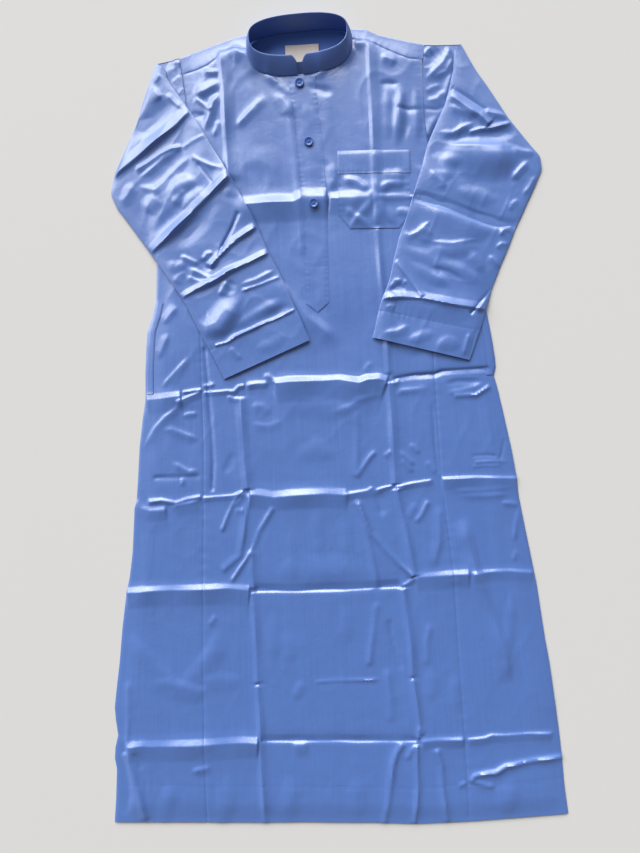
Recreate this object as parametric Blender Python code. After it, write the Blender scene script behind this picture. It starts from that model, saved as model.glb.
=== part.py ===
"""Thobe robe laid flat and face up, with its sleeves folded over the front.

Metres in the scene, millimetres in the tables. +Y runs from the hem to the collar, +X to the
wearer's left, +Z up from the surface that the back panel lies on. The origin is under the middle.
"""

import math
from collections import namedtuple

import bmesh
import bpy
import numpy as np
from mathutils import Vector
from mathutils.bvhtree import BVHTree

MM = 0.001

# The middle of the laid robe in the tables' own coordinates
MIDDLE = Vector((2.35, -2.05, 0.0))

# Walls and the layers of the flat lay
CLOTH = 1.0
COLLAR_WALL = 1.6
PATCH_WALL = 1.0
LABEL_WALL = 1.0
GAP = 0.35
LAID_GAP = 0.55
BACK_MID = CLOTH / 2
FRONT_MID = 2.2
LOFT = 3.0
LOFT_FADE = 38.0

# Lines that run from the hem to the shoulders, in the order of each level's columns
LINES = (
    "left_edge", "left_seam", "left_fold", "left_neck", "centre",
    "right_neck", "right_fold", "right_seam", "right_edge",
)
Level = namedtuple("Level", "name pressed x y")

# Levels up the body: where each line is, and whether a pressed fold runs along the level
LEVELS = (
    Level("hem", False,
          (-405, -240, -139, -72, 0, 65, 130, 229, 405),
          (-694, -701, -706, -708, -712, -715, -720, -720, -714)),
    Level("lower_skirt", True,
          (-401, -239, -141, -72, -2, 66, 142, 226, 398),
          (-560, -557, -558, -561, -565, -569, -573, -571, -567)),
    Level("skirt", False,
          (-389, -235, -144, -73, -4, 64, 137, 222, 381),
          (-425,) * 9),
    Level("knee", True,
          (-368, -229, -146, -74, -6, 62, 138, 219, 361),
          (-285, -283, -290, -293, -295, -294, -287, -277, -281)),
    Level("thigh", True,
          (-345, -221, -146, -76, -9, 58, 119, 205, 338),
          (-131, -122, -114, -124, -125, -124, -116, -107, -110)),
    Level("hip", False,
          (-334, -217, -146, -77, -10, 56, 118, 203, 325),
          (-30,) * 9),
    Level("waist", True,
          (-322, -216, -147, -78, -9, 55, 116, 200, 309),
          (62, 68, 68, 80, 79, 78, 76, 82, 86)),
    Level("pocket", False,
          (-312, -214, -148, -80, -6, 52, 113, 200, 299),
          (175,) * 9),
    Level("pocket_top", False,
          (-294, -214, -149, -84, -5, 51, 111, 201, 292),
          (228,) * 9),
    Level("ribs", False,
          (-288, -214, -150, -88, -4, 50, 110, 203, 284),
          (290,) * 9),
    Level("chest", True,
          (-285, -218, -152, -95, -2, 55, 106, 208, 272),
          (400, 400, 400, 402, 403, 403, 401, 400, 400)),
    Level("underarm", False,
          (-284, -224, -153, -100, -5, 62, 106, 212, 268),
          (420, 456, 456, 456, 458, 456, 456, 456, 418)),
)

# The armhole seams above the underarm, from the bottom to the shoulder
ARMHOLE_Y = (456, 500, 545, 600, 636, 665)
ARMHOLE_LEFT_X = (-224, -220, -219, -223, -227, -231)
ARMHOLE_RIGHT_X = (212, 205, 202, 201, 203, 207)

# Upper lines of the front at chest height, between the armholes
BREAST_Y = 545
BREAST_X = (-219, -154, -104, -10, 70, 106, 202)

# Front yoke seams and shoulder folds, as heights along the garment at a place across it
YOKE_SEAM_X = (-231, -200, -180, -165, -158, -135, -107, 78, 107, 120, 140, 160, 180, 207)
YOKE_SEAM_Y = (636, 642, 650, 661, 673, 680, 675.5, 686.5, 683, 676, 665, 655, 647, 645)
LEFT_FOLD_X = -158
RIGHT_FOLD_X = 107
SHOULDER_X = (-233, -200, -175, -150, -130, -106, 74, 105, 125, 150, 180, 210)
SHOULDER_Y = (665, 676, 684, 692, 698, 703, 706, 703, 693, 686, 678, 671)
BACK_YOKE_SEAM_Y = 575
YOKE_GAP = 0.9
SHOULDER_TURN = (FRONT_MID - BACK_MID) / 2 + CLOTH / 2

# Neck seam and collar rim seen from above: rings that are deeper in front of their widest place
# than behind it, and that slant up towards the wearer's left
Ring = namedtuple("Ring", "x y half front back slant")
NECK = Ring(-14.5, 681.0, 92.5, 55.0, 22.0, 0.06)
SEAT = Ring(-14.5, 681.0, 94.0, 56.0, 23.5, 0.06)
RIM = Ring(-17.0, 687.0, 86.0, 35.0, 27.5, 0.05)
RING_POWER = 2.7
RIM_FRONT_Z = 25.0
RIM_BACK_Z = 39.0
COLLAR_BULGE = 2.0
COLLAR_GAP = 1.5 * GAP + COLLAR_WALL / 2
COLLAR_OPEN = 10.5
COLLAR_CORNER = 11.0
COLLAR_CORNER_DROP = 0.34
COLLAR_END_STEPS = (0.0, 2.0, 4.5, 7.5, 11.0, 16.0)
COLLAR_COLUMNS = 44
COLLAR_ROWS = 5
COLLAR_REACH = 3.0
NECK_ALLOWANCE = 3.0

# Placket: width and place down the front
PLACKET_Y = (621, 600, 545, 480, 410, 403, 396, 340, 283, 240, 219)
PLACKET_LEFT_X = (-37, -36, -30, -27, -24, -24, -24, -23, -23, -23, -23)
PLACKET_RIGHT_X = (10, 11, 15, 19, 21, 21, 21, 20, 19, 18, 18)
PLACKET_TIP = (-3, 200)
PLACKET_COLUMNS = 4

Button = namedtuple("Button", "name x y")
BUTTONS = (
    Button("button_top", -18, 610),
    Button("button_middle", -6, 505),
    Button("button_bottom", -2, 393),
)
BUTTON_RADIUS = 8.2
BUTTON_HEIGHT = 3.0
BUTTON_DISH = 0.9
BUTTON_RIM = 2.2
BUTTON_SIDES = 20
BUTTON_HOLE = 0.9
BUTTON_HOLE_OFFSET = 1.9

# Chest pocket on the wearer's left: outline under its band
POCKET_LEFT, POCKET_RIGHT = 45.0, 173.0
POCKET_TOP, POCKET_BOTTOM = 485.0, 346.0
POCKET_CUT_CORNER = (20.0, 24.0)
POCKET_BAND = 41.0
POCKET_BAND_OVERHANG = 1.0
POCKET_TILT = math.radians(-1.5)
POCKET_COLUMNS = 10

# Side pocket facings beside the side edges
FACING_FROM_EDGE = 4.0
FACING_WIDTH = 11.0
FACING_LEFT_Y = (228, 66)
FACING_RIGHT_Y = (205, 74)
FACING_ROWS = 12

# Label inside the back neck
LABEL_CENTRE = (-11.0, 664.0)
LABEL_SIZE = (60.0, 34.0)
LABEL_TILT = math.radians(0.8)

Fold = namedtuple("Fold", "path height width")
LevelFold = namedtuple("LevelFold", "level start end height width")
LineFold = namedtuple("LineFold", "line start end height width")

# Pressed folds along the levels: a ridge where the height is positive, a groove where it is not
LEVEL_FOLDS = (
    LevelFold("chest", "left_neck", "right_fold", 4.5, 16),
    LevelFold("waist", "left_edge", "left_fold", 3.6, 14),
    LevelFold("waist", "left_fold", "right_fold", 5.0, 15),
    LevelFold("waist", "right_fold", "right_edge", 3.2, 14),
    LevelFold("thigh", "left_edge", "left_fold", 3.4, 14),
    LevelFold("thigh", "left_fold", "right_fold", 4.2, 14),
    LevelFold("thigh", "right_fold", "right_edge", 2.6, 12),
    LevelFold("knee", "left_edge", "left_fold", 4.0, 14),
    LevelFold("knee", "left_fold", "right_fold", -1.8, 12),
    LevelFold("knee", "right_fold", "right_edge", 3.2, 13),
    LevelFold("lower_skirt", "left_edge", "left_fold", 4.2, 14),
    LevelFold("lower_skirt", "left_fold", "right_fold", -1.8, 12),
    LevelFold("lower_skirt", "right_fold", "right_edge", 2.4, 12),
)

# Pressed folds along the lines
LINE_FOLDS = (
    LineFold("left_fold", "hem", "waist", 3.4, 12),
    LineFold("right_fold", "hem", "chest", 3.4, 12),
)

# Loose folds of the front, each along its own path
LOOSE_FOLDS = (
    Fold(((-154, 520), (-156, 600), (-158, 665)), 3.2, 13),
    Fold(((106, 420), (106, 560), (108, 670)), 3.4, 13),
    Fold(((-100, 320), (-60, 245), (-20, 196), (45, 160)), 3.6, 16),
    Fold(((-75, 545), (-118, 590)), 2.4, 14),
    Fold(((150, -279), (110, -235), (72, -192)), 2.2, 10),
    Fold(((-100, -148), (-140, -215), (-178, -270)), 3.0, 10),
    Fold(((235, -150), (268, -280), (306, -400), (316, -480)), 3.0, 18),
    Fold(((97, -590), (84, -660), (80, -716)), 4.0, 10),
    Fold(((141, -600), (136, -660), (132, -718)), 4.0, 10),
    Fold(((180, -590), (184, -660), (188, -716)), 3.6, 9),
    Fold(((-374, -580), (-362, -640), (-352, -690)), 4.4, 12),
    Fold(((235, -640), (290, -622), (330, -616), (398, -612)), 4.2, 9),
    Fold(((150, 60), (190, 60), (225, 50), (270, 44), (298, 60)), 3.0, 12),
)

# Sleeves: a station is one row of the wrapped cloth. The inner and outer points are the two folds
# of the flat tube, and its lower layer starts at the armhole seam, at the height that is given.
Station = namedtuple("Station", "name inner outer seam")
SLEEVE_LEFT = (
    Station("tip", (-257, 645), (-271, 658), 664.5),
    Station("cap", (-255, 630), (-288, 617), 640),
    Station("upper", (-238, 603), (-313, 549), 608),
    Station("first_press", (-216, 568), (-354, 464), 574),
    Station("elbow_top", (-203, 545), (-363, 430), None),
    Station("elbow", (-191, 525), (-352, 402), None),
    Station("below_elbow", (-170, 487), (-326, 364), None),
    Station("second_press", (-149, 450), (-296, 320), None),
    Station("forearm_top", (-131, 413), (-282, 298), None),
    Station("forearm", (-113, 376), (-268, 276), None),
    Station("forearm_low", (-100, 345), (-256, 256), None),
    Station("third_press", (-86, 310), (-243, 236), None),
    Station("wrist_top", (-70, 275), (-228, 205), None),
    Station("wrist", (-55, 240), (-213, 173), None),
    Station("cuff_seam", (-41, 205), (-198, 141), None),
    Station("cuff", (-30, 178), (-186, 115), None),
    Station("end", (-20, 151), (-174, 89), None),
)
SLEEVE_RIGHT = (
    Station("tip", (261, 657), (273, 669), 669.5),
    Station("cap", (258, 622), (297, 622), 640),
    Station("upper", (250, 592), (325, 580), 606),
    Station("upper_low", (240, 560), (352, 534), 572),
    Station("bicep", (222, 525), (366, 514), 535),
    Station("first_press", (205, 488), (388, 485), 496),
    Station("elbow_top", (197, 462), (405, 464), None),
    Station("elbow", (190, 440), (408, 440), None),
    Station("below_elbow", (183, 420), (388, 398), None),
    Station("second_press", (176, 400), (357, 337), None),
    Station("forearm_top", (160, 355), (346, 312), None),
    Station("forearm", (147, 325), (335, 288), None),
    Station("forearm_low", (137, 290), (322, 260), None),
    Station("wrist", (128, 252), (309, 230), None),
    Station("third_press", (112, 218), (297, 192), None),
    Station("cuff_seam", (106, 198), (284, 158), None),
    Station("cuff", (100, 176), (274, 132), None),
    Station("end", (93, 151), (262, 104), None),
)
SLEEVE_COLUMNS = 9
TUCK = 12.0
TUCK_RISE = 2.0
INNER_RISE = 3.8
OUTER_RISE = 2.5
TURN_POINTS = 3
SEAM_SETBACK = 1.0
ARMHOLE_GAP = 0.6
SLEEVE_LOFT = 1.4
DRAPE_PASSES = 6
SETTLE_STEPS = 8

SLEEVE_LEFT_FOLDS = (
    Fold(((-214, 566), (-290, 512), (-356, 462)), 3.6, 14),
    Fold(((-149, 449), (-225, 382), (-298, 320)), 4.2, 14),
    Fold(((-86, 309), (-170, 270), (-243, 236)), 3.8, 12),
    Fold(((-106, 364), (-150, 325), (-190, 288)), 3.4, 9),
    Fold(((-41, 207), (-110, 180), (-190, 146)), 2.6, 8),
)
SLEEVE_RIGHT_FOLDS = (
    Fold(((176, 399), (260, 368), (356, 336)), 4.2, 14),
    Fold(((112, 218), (180, 214), (240, 204), (298, 192)), 3.8, 12),
    Fold(((250, 588), (300, 550), (325, 520)), 3.0, 10),
    Fold(((230, 496), (300, 500), (372, 500)), 3.4, 16),
    Fold(((137, 288), (178, 222)), 2.4, 9),
)

Finish = namedtuple("Finish", "colour roughness metallic")
SATIN = Finish((0.115, 0.215, 0.60), 0.36, 0.0)
BUTTON_PLASTIC = Finish((0.07, 0.13, 0.38), 0.25, 0.0)
LABEL_CLOTH = Finish((0.78, 0.69, 0.55), 0.8, 0.0)


def clear_scene():
    """Removes every object, so that only the robe is left."""
    for found in list(bpy.data.objects):
        bpy.data.objects.remove(found)


def material(name, finish):
    """A plain Principled material for one piece."""
    made = bpy.data.materials.new(name)
    made.use_nodes = True
    shader = made.node_tree.nodes["Principled BSDF"]
    shader.inputs["Base Color"].default_value = (*finish.colour, 1.0)
    shader.inputs["Roughness"].default_value = finish.roughness
    shader.inputs["Metallic"].default_value = finish.metallic
    return made


def smooth(value):
    """0 to 1 in a soft S."""
    held = np.clip(value, 0.0, 1.0)
    return held * held * (3.0 - 2.0 * held)


def line_number(name):
    return LINES.index(name)


def level_number(name):
    return [level.name for level in LEVELS].index(name)


def edge_x(y, side):
    """Where the side edge or the armhole is at a height along the garment."""
    column = 0 if side < 0 else -1
    armhole = ARMHOLE_LEFT_X if side < 0 else ARMHOLE_RIGHT_X
    heights = [level.y[column] for level in LEVELS] + list(ARMHOLE_Y)
    places = [level.x[column] for level in LEVELS] + list(armhole)
    return np.interp(y, heights, places)


def hem_y(x):
    return np.interp(x, LEVELS[0].x, LEVELS[0].y)


def yoke_seam_y(x):
    return np.interp(x, YOKE_SEAM_X, YOKE_SEAM_Y)


def shoulder_y(x):
    return np.interp(x, SHOULDER_X, SHOULDER_Y)


def on_ring(ring, angle):
    """A point of a ring. Angle 0 is its front, and it grows towards +X."""
    s, c = math.sin(angle), math.cos(angle)
    reach = (abs(s) ** RING_POWER + abs(c) ** RING_POWER) ** (-1.0 / RING_POWER)
    x = ring.half * reach * s
    y = -(ring.front if c > 0 else ring.back) * reach * c
    return ring.x + x, ring.y + y + ring.slant * x


def distance_along(points, path):
    """Each point's distance from a path, and how far along the path its nearest place is, 0 to 1."""
    path = np.array(path, float)
    lengths = np.linalg.norm(np.diff(path, axis=0), axis=1)
    before = np.concatenate([[0.0], np.cumsum(lengths)])
    best = np.full(len(points), 1e9)
    along = np.zeros(len(points))
    for start, end, length, base in zip(path[:-1], path[1:], lengths, before):
        way = (end - start) / length
        run = np.clip((points - start) @ way, 0.0, length)
        apart = np.linalg.norm(points - start - run[:, None] * way, axis=1)
        nearer = apart < best
        best = np.where(nearer, apart, best)
        along = np.where(nearer, (base + run) / before[-1], along)
    return best, along


def fold_height(points, fold):
    """How far one fold lifts the cloth: a soft tent that runs out at both ends."""
    apart, along = distance_along(points, fold.path)
    ends = smooth(np.minimum(along, 1.0 - along) * 8.0 + 0.35)
    return fold.height * np.exp(-((apart / fold.width) ** 1.4)) * ends


def level_path(level, start, end):
    """The points of a level from one line to another."""
    row = LEVELS[level_number(level)]
    chosen = slice(line_number(start), line_number(end) + 1)
    return tuple(zip(row.x[chosen], row.y[chosen]))


def line_path(line, start, end):
    """The points of a line from one level up to another."""
    number = line_number(line)
    rows = LEVELS[level_number(start):level_number(end) + 1]
    return tuple((row.x[number], row.y[number]) for row in rows)


def front_folds():
    """Every fold of the front, each with its own path."""
    across = [Fold(level_path(f.level, f.start, f.end), f.height, f.width) for f in LEVEL_FOLDS]
    down = [Fold(line_path(f.line, f.start, f.end), f.height, f.width) for f in LINE_FOLDS]
    return across + down + list(LOOSE_FOLDS)


FRONT_FOLDS = front_folds()


def front_z(points):
    """Mid-height of the front cloth: level at its edges, lofted inside, with its folds."""
    points = np.array(points, float).reshape(-1, 2)
    x, y = points[:, 0], points[:, 1]
    inside = smooth((x - edge_x(y, -1)) / LOFT_FADE)
    inside *= smooth((edge_x(y, 1) - x) / LOFT_FADE)
    inside *= smooth((y - hem_y(x)) / LOFT_FADE)
    inside *= smooth((shoulder_y(x) - y) / LOFT_FADE)
    lift = LOFT * inside + sum(fold_height(points, fold) for fold in FRONT_FOLDS) * (0.25 + 0.75 * inside)
    return FRONT_MID + np.maximum(lift, 0.0)


def spread(start, end, shares):
    """Points between two places at the given shares."""
    return [(start[0] + (end[0] - start[0]) * s, start[1] + (end[1] - start[1]) * s) for s in shares]


def row_shares(length, from_fold, to_fold):
    """Where rows go between two levels: close beside a pressed fold, and wide apart elsewhere."""
    near, next_near, wide = 6.0, 16.0, 48.0
    marks = [0.0]
    if from_fold:
        marks += [near, next_near]
    last = length - next_near if to_fold else length
    steps = max(1, round((last - marks[-1]) / wide))
    marks += [marks[-1] + (last - marks[-1]) * k / steps for k in range(1, steps + 1)]
    if to_fold:
        marks += [length - near, length]
    return [mark / length for mark in marks[:-1]]


# How the columns are shared between each pair of lines of the middle front
COLUMN_SHARES = (
    (0.0, 0.4, 0.75, 0.92),
    (0.0, 0.12, 0.5),
    (0.0, 0.25, 0.5, 0.75),
    (0.0, 0.25, 0.5, 0.75),
    (0.0, 0.5, 0.86),
    (0.0, 0.1, 0.4, 0.7),
)
SIDE_SHARES = (0.0, 0.12, 0.4, 0.72, 1.0)


def middle_row(points):
    """One row of the middle front through its seven line points."""
    row = []
    for start, end, shares in zip(points[:-1], points[1:], COLUMN_SHARES):
        row += spread(start, end, shares)
    return row + [points[-1]]


def neck_row():
    """The top row of the middle front: the yoke seams on both sides of the neck curve."""
    steps = len(COLUMN_SHARES[2]) + len(COLUMN_SHARES[3])
    curve = [on_ring(NECK, math.pi * (k / steps - 0.5)) for k in range(steps + 1)]
    left = (ARMHOLE_LEFT_X[4], LEFT_FOLD_X, curve[0][0])
    right = (curve[-1][0], RIGHT_FOLD_X, ARMHOLE_RIGHT_X[4])
    over_left = seam_points(left, COLUMN_SHARES[:2])
    over_right = seam_points(right, COLUMN_SHARES[4:])
    return over_left[:-1] + curve + over_right[1:]


def seam_points(marks, shares):
    """Points of the front yoke seam between marks across it."""
    places = []
    for start, end, group in zip(marks[:-1], marks[1:], shares):
        places += [start + (end - start) * share for share in group]
    return [(x, yoke_seam_y(x)) for x in places + [marks[-1]]]


def body_rows():
    """Rows of the nine line points, from the hem to the underarm."""
    rows = []
    for low, high in zip(LEVELS[:-1], LEVELS[1:]):
        length = high.y[4] - low.y[4]
        for share in row_shares(length, low.pressed, high.pressed):
            x = [a + (b - a) * share for a, b in zip(low.x, high.x)]
            y = [a + (b - a) * share for a, b in zip(low.y, high.y)]
            rows.append(list(zip(x, y)))
    rows.append(list(zip(LEVELS[-1].x, LEVELS[-1].y)))
    return rows


def middle_front_grid():
    """Plan points of the middle front, from the hem to the neck and the yoke seams."""
    rows = [middle_row(row[1:-1]) for row in body_rows()]
    breast = middle_row([(x, BREAST_Y) for x in BREAST_X])
    top = neck_row()
    low = rows[-1]
    rows += [[spread(a, b, (0.5,))[0] for a, b in zip(low, breast)], breast]
    for share in (0.35, 0.7, 0.9, 1.0):
        rows.append([spread(a, b, (share,))[0] for a, b in zip(breast, top)])
    return rows


def side_front_grid(side):
    """Plan points of one side front, between the side edge and the long seam."""
    first, second = (0, 1) if side < 0 else (7, 8)
    shares = SIDE_SHARES if side < 0 else tuple(1.0 - s for s in reversed(SIDE_SHARES))
    rows = []
    for row in body_rows():
        seam = row[1] if side < 0 else row[7]
        off = (seam[0] + side * GAP, seam[1])
        ends = (row[first], off) if side < 0 else (off, row[second])
        rows.append(spread(*ends, shares))
    return rows


def link(name, mesh, finish, wall=None):
    """Adds a mesh to the scene as one named piece, with a wall where it is a single surface."""
    piece = bpy.data.objects.new(name, mesh)
    bpy.context.scene.collection.objects.link(piece)
    mesh.materials.append(material(name, finish))
    if wall:
        thick = piece.modifiers.new("Wall", "SOLIDIFY")
        thick.thickness = wall * MM
        thick.offset = 0.0
        thick.use_even_offset = False
        thick.use_quality_normals = True
    return piece


def mesh_of(name, points, faces):
    """A mesh from points in millimetres, with faces that point up or out all alike."""
    mesh = bpy.data.meshes.new(name)
    mesh.from_pydata([(Vector(p) - MIDDLE) * MM for p in points], [], faces)
    mesh.validate()
    mesh.shade_smooth()
    mesh.update()
    return mesh


def grid_faces(rows, columns, first=0):
    """Quads of a grid whose points are listed row by row."""
    faces = []
    for r in range(rows - 1):
        for c in range(columns - 1):
            a = first + r * columns + c
            faces.append((a, a + 1, a + columns + 1, a + columns))
    return faces


class Stack:
    """The layers laid so far, which a new layer is laid on."""

    def __init__(self):
        self.layers = []

    def add(self, points, faces, half_wall):
        tree = BVHTree.FromPolygons([Vector(p) for p in points], faces)
        self.layers.append((tree, half_wall))

    def top(self, x, y):
        """The highest surface over one place, 0 where there is only the floor."""
        found = 0.0
        for tree, half_wall in self.layers:
            hit = tree.ray_cast(Vector((x, y, 500.0)), Vector((0.0, 0.0, -1.0)))[0]
            if hit is not None:
                found = max(found, hit.z + half_wall)
        return found

    def top_near(self, x, y, reach):
        """The highest surface within a reach of one place."""
        found = self.top(x, y)
        for ring in (0.5, 1.0):
            for k in range(8):
                turn = math.tau * (k + ring) / 8
                spot = (x + ring * reach * math.cos(turn), y + ring * reach * math.sin(turn))
                found = max(found, self.top(*spot))
        return found


def cloth_grid(name, rows, heights, stack, wall=CLOTH, finish=SATIN):
    """A piece of cloth from rows of plan points and the mid-height of each."""
    columns = len(rows[0])
    plan = [p for row in rows for p in row]
    points = [(x, y, z) for (x, y), z in zip(plan, heights)]
    faces = grid_faces(len(rows), columns)
    stack.add(points, faces, wall / 2)
    return link(name, mesh_of(name, points, faces), finish, wall)


def settled(rows, heights, stack, wall):
    """The mid-heights again, raised wherever the layer between its points would cut the stack."""
    heights = np.array(heights, float).reshape(len(rows), len(rows[0]))
    shares = [(u / SETTLE_STEPS, v / SETTLE_STEPS) for u in range(SETTLE_STEPS + 1) for v in range(SETTLE_STEPS + 1)]
    weights = np.array([((1 - u) * (1 - v), (1 - u) * v, u * (1 - v), u * v) for u, v in shares])
    plan = np.array(rows, float)
    for r in range(len(rows) - 1):
        for c in range(len(rows[0]) - 1):
            corners = plan[r:r + 2, c:c + 2].reshape(4, 2)
            below = np.array([stack.top(x, y) for x, y in weights @ corners])
            low = below + wall / 2 + np.where(below > CLOTH / 2, LAID_GAP, 0.02)
            short = np.max(low - weights @ heights[r:r + 2, c:c + 2].ravel())
            if short > 0.0:
                heights[r:r + 2, c:c + 2] += short
    return heights


def on_top(rows, stack, wall):
    """Mid-heights that keep a patch just clear of what it lies on."""
    lowest = [stack.top(x, y) + LAID_GAP + wall / 2 for row in rows for x, y in row]
    return settled(rows, lowest, stack, wall).ravel()


def build_fronts(stack):
    """The middle front and the two side fronts."""
    rows = middle_front_grid()
    cloth_grid("front_middle", rows, front_z([p for row in rows for p in row]), stack)
    for name, side in (("front_side_left", -1), ("front_side_right", 1)):
        rows = side_front_grid(side)
        cloth_grid(name, rows, front_z([p for row in rows for p in row]), stack)


def build_back(stack):
    """The back, flat on the surface below, up to its yoke seam."""
    rows = [list(zip(level.x, level.y)) for level in LEVELS]
    for y in (470, 545, BACK_YOKE_SEAM_Y - GAP):
        left, right = edge_x(y, -1), edge_x(y, 1)
        shares = [k / (len(LINES) - 1) for k in range(len(LINES))]
        rows.append(spread((left, y), (right, y), shares))
    cloth_grid("back", rows, [BACK_MID] * (len(rows) * len(LINES)), stack)


def turn_points(low, high, outward, count=TURN_POINTS):
    """Points of the half-round turn from a lower point up to a higher one, bulging outward."""
    middle, radius = (low[2] + high[2]) / 2, (high[2] - low[2]) / 2
    points = []
    for k in range(1, count + 1):
        angle = math.pi * k / (count + 1) - math.pi / 2
        share = (math.sin(angle) + 1.0) / 2
        x = low[0] + (high[0] - low[0]) * share + outward[0] * radius * math.cos(angle)
        y = low[1] + (high[1] - low[1]) * share + outward[1] * radius * math.cos(angle)
        points.append((x, y, middle + radius * math.sin(angle)))
    return points


def back_neck_y(x):
    """The back neck edge of the yoke, just behind the neck seam."""
    share = min(1.0, abs((x - SEAT.x) / SEAT.half)) ** RING_POWER
    back = SEAT.back + NECK_ALLOWANCE
    return SEAT.y + back * (1.0 - share) ** (1.0 / RING_POWER) + SEAT.slant * (x - SEAT.x)


def yoke_columns():
    """The front seam points over the two shoulders, and the neck places between them."""
    row = neck_row()
    side = len(COLUMN_SHARES[0]) + len(COLUMN_SHARES[1]) + 1
    return row[:side], row[-side:]


def yoke_back_strip(x, seam):
    """The yoke's part on the floor at one place, from its back seam up to the shoulder or neck."""
    over_shoulder = seam is not None
    top = shoulder_y(x) - SHOULDER_TURN if over_shoulder else back_neck_y(x)
    heights = [BACK_YOKE_SEAM_Y + (top - BACK_YOKE_SEAM_Y) * k / 2 for k in range(3)]
    return [(within_armholes(x, y), y, BACK_MID) for y in heights]


def within_armholes(x, y):
    """A place across the yoke, with its outermost columns brought to the armhole seams."""
    if x < ARMHOLE_LEFT_X[4] + 0.5:
        return float(edge_x(y, -1))
    if x > ARMHOLE_RIGHT_X[4] - 0.5:
        return float(edge_x(y, 1))
    return x


def yoke_front_strip(low, seam):
    """The yoke's part over the shoulder, from the turn down to its front seam."""
    high = (low[0], low[1], FRONT_MID)
    end = (seam[0], seam[1] + YOKE_GAP)
    front = spread(high[:2], end, (0.0, 0.5, 1.0))
    placed = turn_points(low, high, (0.0, 1.0))
    return placed + [(*p, z) for p, z in zip(front, front_z(front))]


def build_yoke(stack):
    """The yoke: across the back under the neck, and over both shoulders to the front seams."""
    left, right = yoke_columns()
    neck = [left[-1][0] + (right[0][0] - left[-1][0]) * k / 10 for k in (0.15, 0.6, 2, 3.5, 5, 6.5, 8, 9.4, 9.85)]
    columns = [(x, (x, y)) for x, y in left] + [(x, None) for x in neck] + [(x, (x, y)) for x, y in right]
    points, faces, backs = [], [], []
    for x, seam in columns:
        strip = yoke_back_strip(x, seam)
        backs.append(list(range(len(points), len(points) + len(strip))))
        points += strip
    for one, other in zip(backs[:-1], backs[1:]):
        for k in range(len(one) - 1):
            faces.append((one[k], other[k], other[k + 1], one[k + 1]))
    for first, group in ((0, left), (len(columns) - len(right), right)):
        strips = []
        for k, seam in enumerate(group):
            top = backs[first + k][-1]
            placed = yoke_front_strip(points[top], seam)
            strips.append([top] + list(range(len(points), len(points) + len(placed))))
            points += placed
        for one, other in zip(strips[:-1], strips[1:]):
            for k in range(len(one) - 1):
                faces.append((one[k], other[k], other[k + 1], one[k + 1]))
    stack.add(points, faces, CLOTH / 2)
    return link("yoke", mesh_of("yoke", points, faces), SATIN, CLOTH)


def collar_angles():
    """Places round the neck from one front end of the collar to the other, close at the ends."""
    first = [(COLLAR_OPEN / 2 + step) / NECK.half for step in COLLAR_END_STEPS]
    last = [math.tau - angle for angle in reversed(first)]
    span = last[0] - first[-1]
    between = [first[-1] + span * k / COLLAR_COLUMNS for k in range(1, COLLAR_COLUMNS)]
    return first + between + last


def build_collar(stack):
    """The standing band collar, open by a finger's width at the front, and the tab behind it."""
    around = collar_angles()
    seats = [stack.top_near(*on_ring(SEAT, angle), COLLAR_REACH) + COLLAR_GAP for angle in around]
    seats = [max(seats[max(0, k - 1):k + 2]) for k in range(len(seats))]
    rows = [[] for _ in range(COLLAR_ROWS)]
    for angle, seat_z in zip(around, seats):
        low, high = collar_ends(angle, seat_z)
        from_end = (min(angle, math.tau - angle) - around[0]) * NECK.half
        cut = COLLAR_CORNER_DROP * max(0.0, 1.0 - from_end / COLLAR_CORNER) ** 2
        for k, row in enumerate(rows):
            row.append(collar_point(low, high, angle, (1.0 - cut) * k / (COLLAR_ROWS - 1)))
    points = [p for row in rows for p in row]
    faces = grid_faces(COLLAR_ROWS, len(around))
    link("collar", mesh_of("collar", points, faces), SATIN, COLLAR_WALL)
    stack.add(points, faces, COLLAR_WALL / 2)
    build_collar_tab(seats[0])


def collar_ends(angle, seat_z):
    """The seam point and the rim point of the collar at one angle round the neck."""
    low = on_ring(SEAT, angle)
    high = on_ring(RIM, angle)
    rim_z = RIM_FRONT_Z + (RIM_BACK_Z - RIM_FRONT_Z) * (1.0 - math.cos(angle)) / 2
    return (*low, seat_z), (*high, rim_z)


def collar_point(low, high, angle, share, inward=0.0):
    """A point up the collar wall, which bulges a little outwards between seam and rim."""
    bulge = COLLAR_BULGE * 4 * share * (1.0 - share) - inward
    out = (math.sin(angle), -math.cos(angle))
    lift = 0.5 * inward * -1.0
    x = low[0] + (high[0] - low[0]) * share + out[0] * bulge * 0.6
    y = low[1] + (high[1] - low[1]) * share + out[1] * bulge * 0.6
    return (x, y, low[2] + (high[2] - low[2]) * share + bulge * 0.5 + lift)


def build_collar_tab(seat_z):
    """The under end of the collar, seen in the gap between its two ends."""
    tab_half, tab_high, inward = 13.0, 0.62, 2.6
    angles = [tab_half * (k / 3 - 1.0) / NECK.half for k in range(7)]
    rows = []
    for k in range(4):
        share = 0.04 + (tab_high - 0.04) * k / 3
        rows.append([collar_point(*collar_ends(a, seat_z), a, share, inward) for a in angles])
    points = [p for row in rows for p in row]
    mesh = mesh_of("collar_tab", points, grid_faces(4, len(angles)))
    link("collar_tab", mesh, SATIN, CLOTH)


def build_placket(stack):
    """The front placket, a strip with a pointed end."""
    rows = []
    for y, left, right in zip(PLACKET_Y, PLACKET_LEFT_X, PLACKET_RIGHT_X):
        shares = [k / PLACKET_COLUMNS for k in range(PLACKET_COLUMNS + 1)]
        rows.append(spread((left, y), (right, y), shares))
    last, tip = rows[-1], PLACKET_TIP
    left = spread(last[0], tip, (0.55, 0.92))
    right = spread(last[-1], tip, (0.55, 0.92))
    for a, b in zip(left, right):
        rows.append(spread(a, b, [k / PLACKET_COLUMNS for k in range(PLACKET_COLUMNS + 1)]))
    rows = in_steps(rows, 24.0)
    cloth_grid("placket", rows, on_top(rows, stack, PATCH_WALL), stack, PATCH_WALL)


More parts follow.
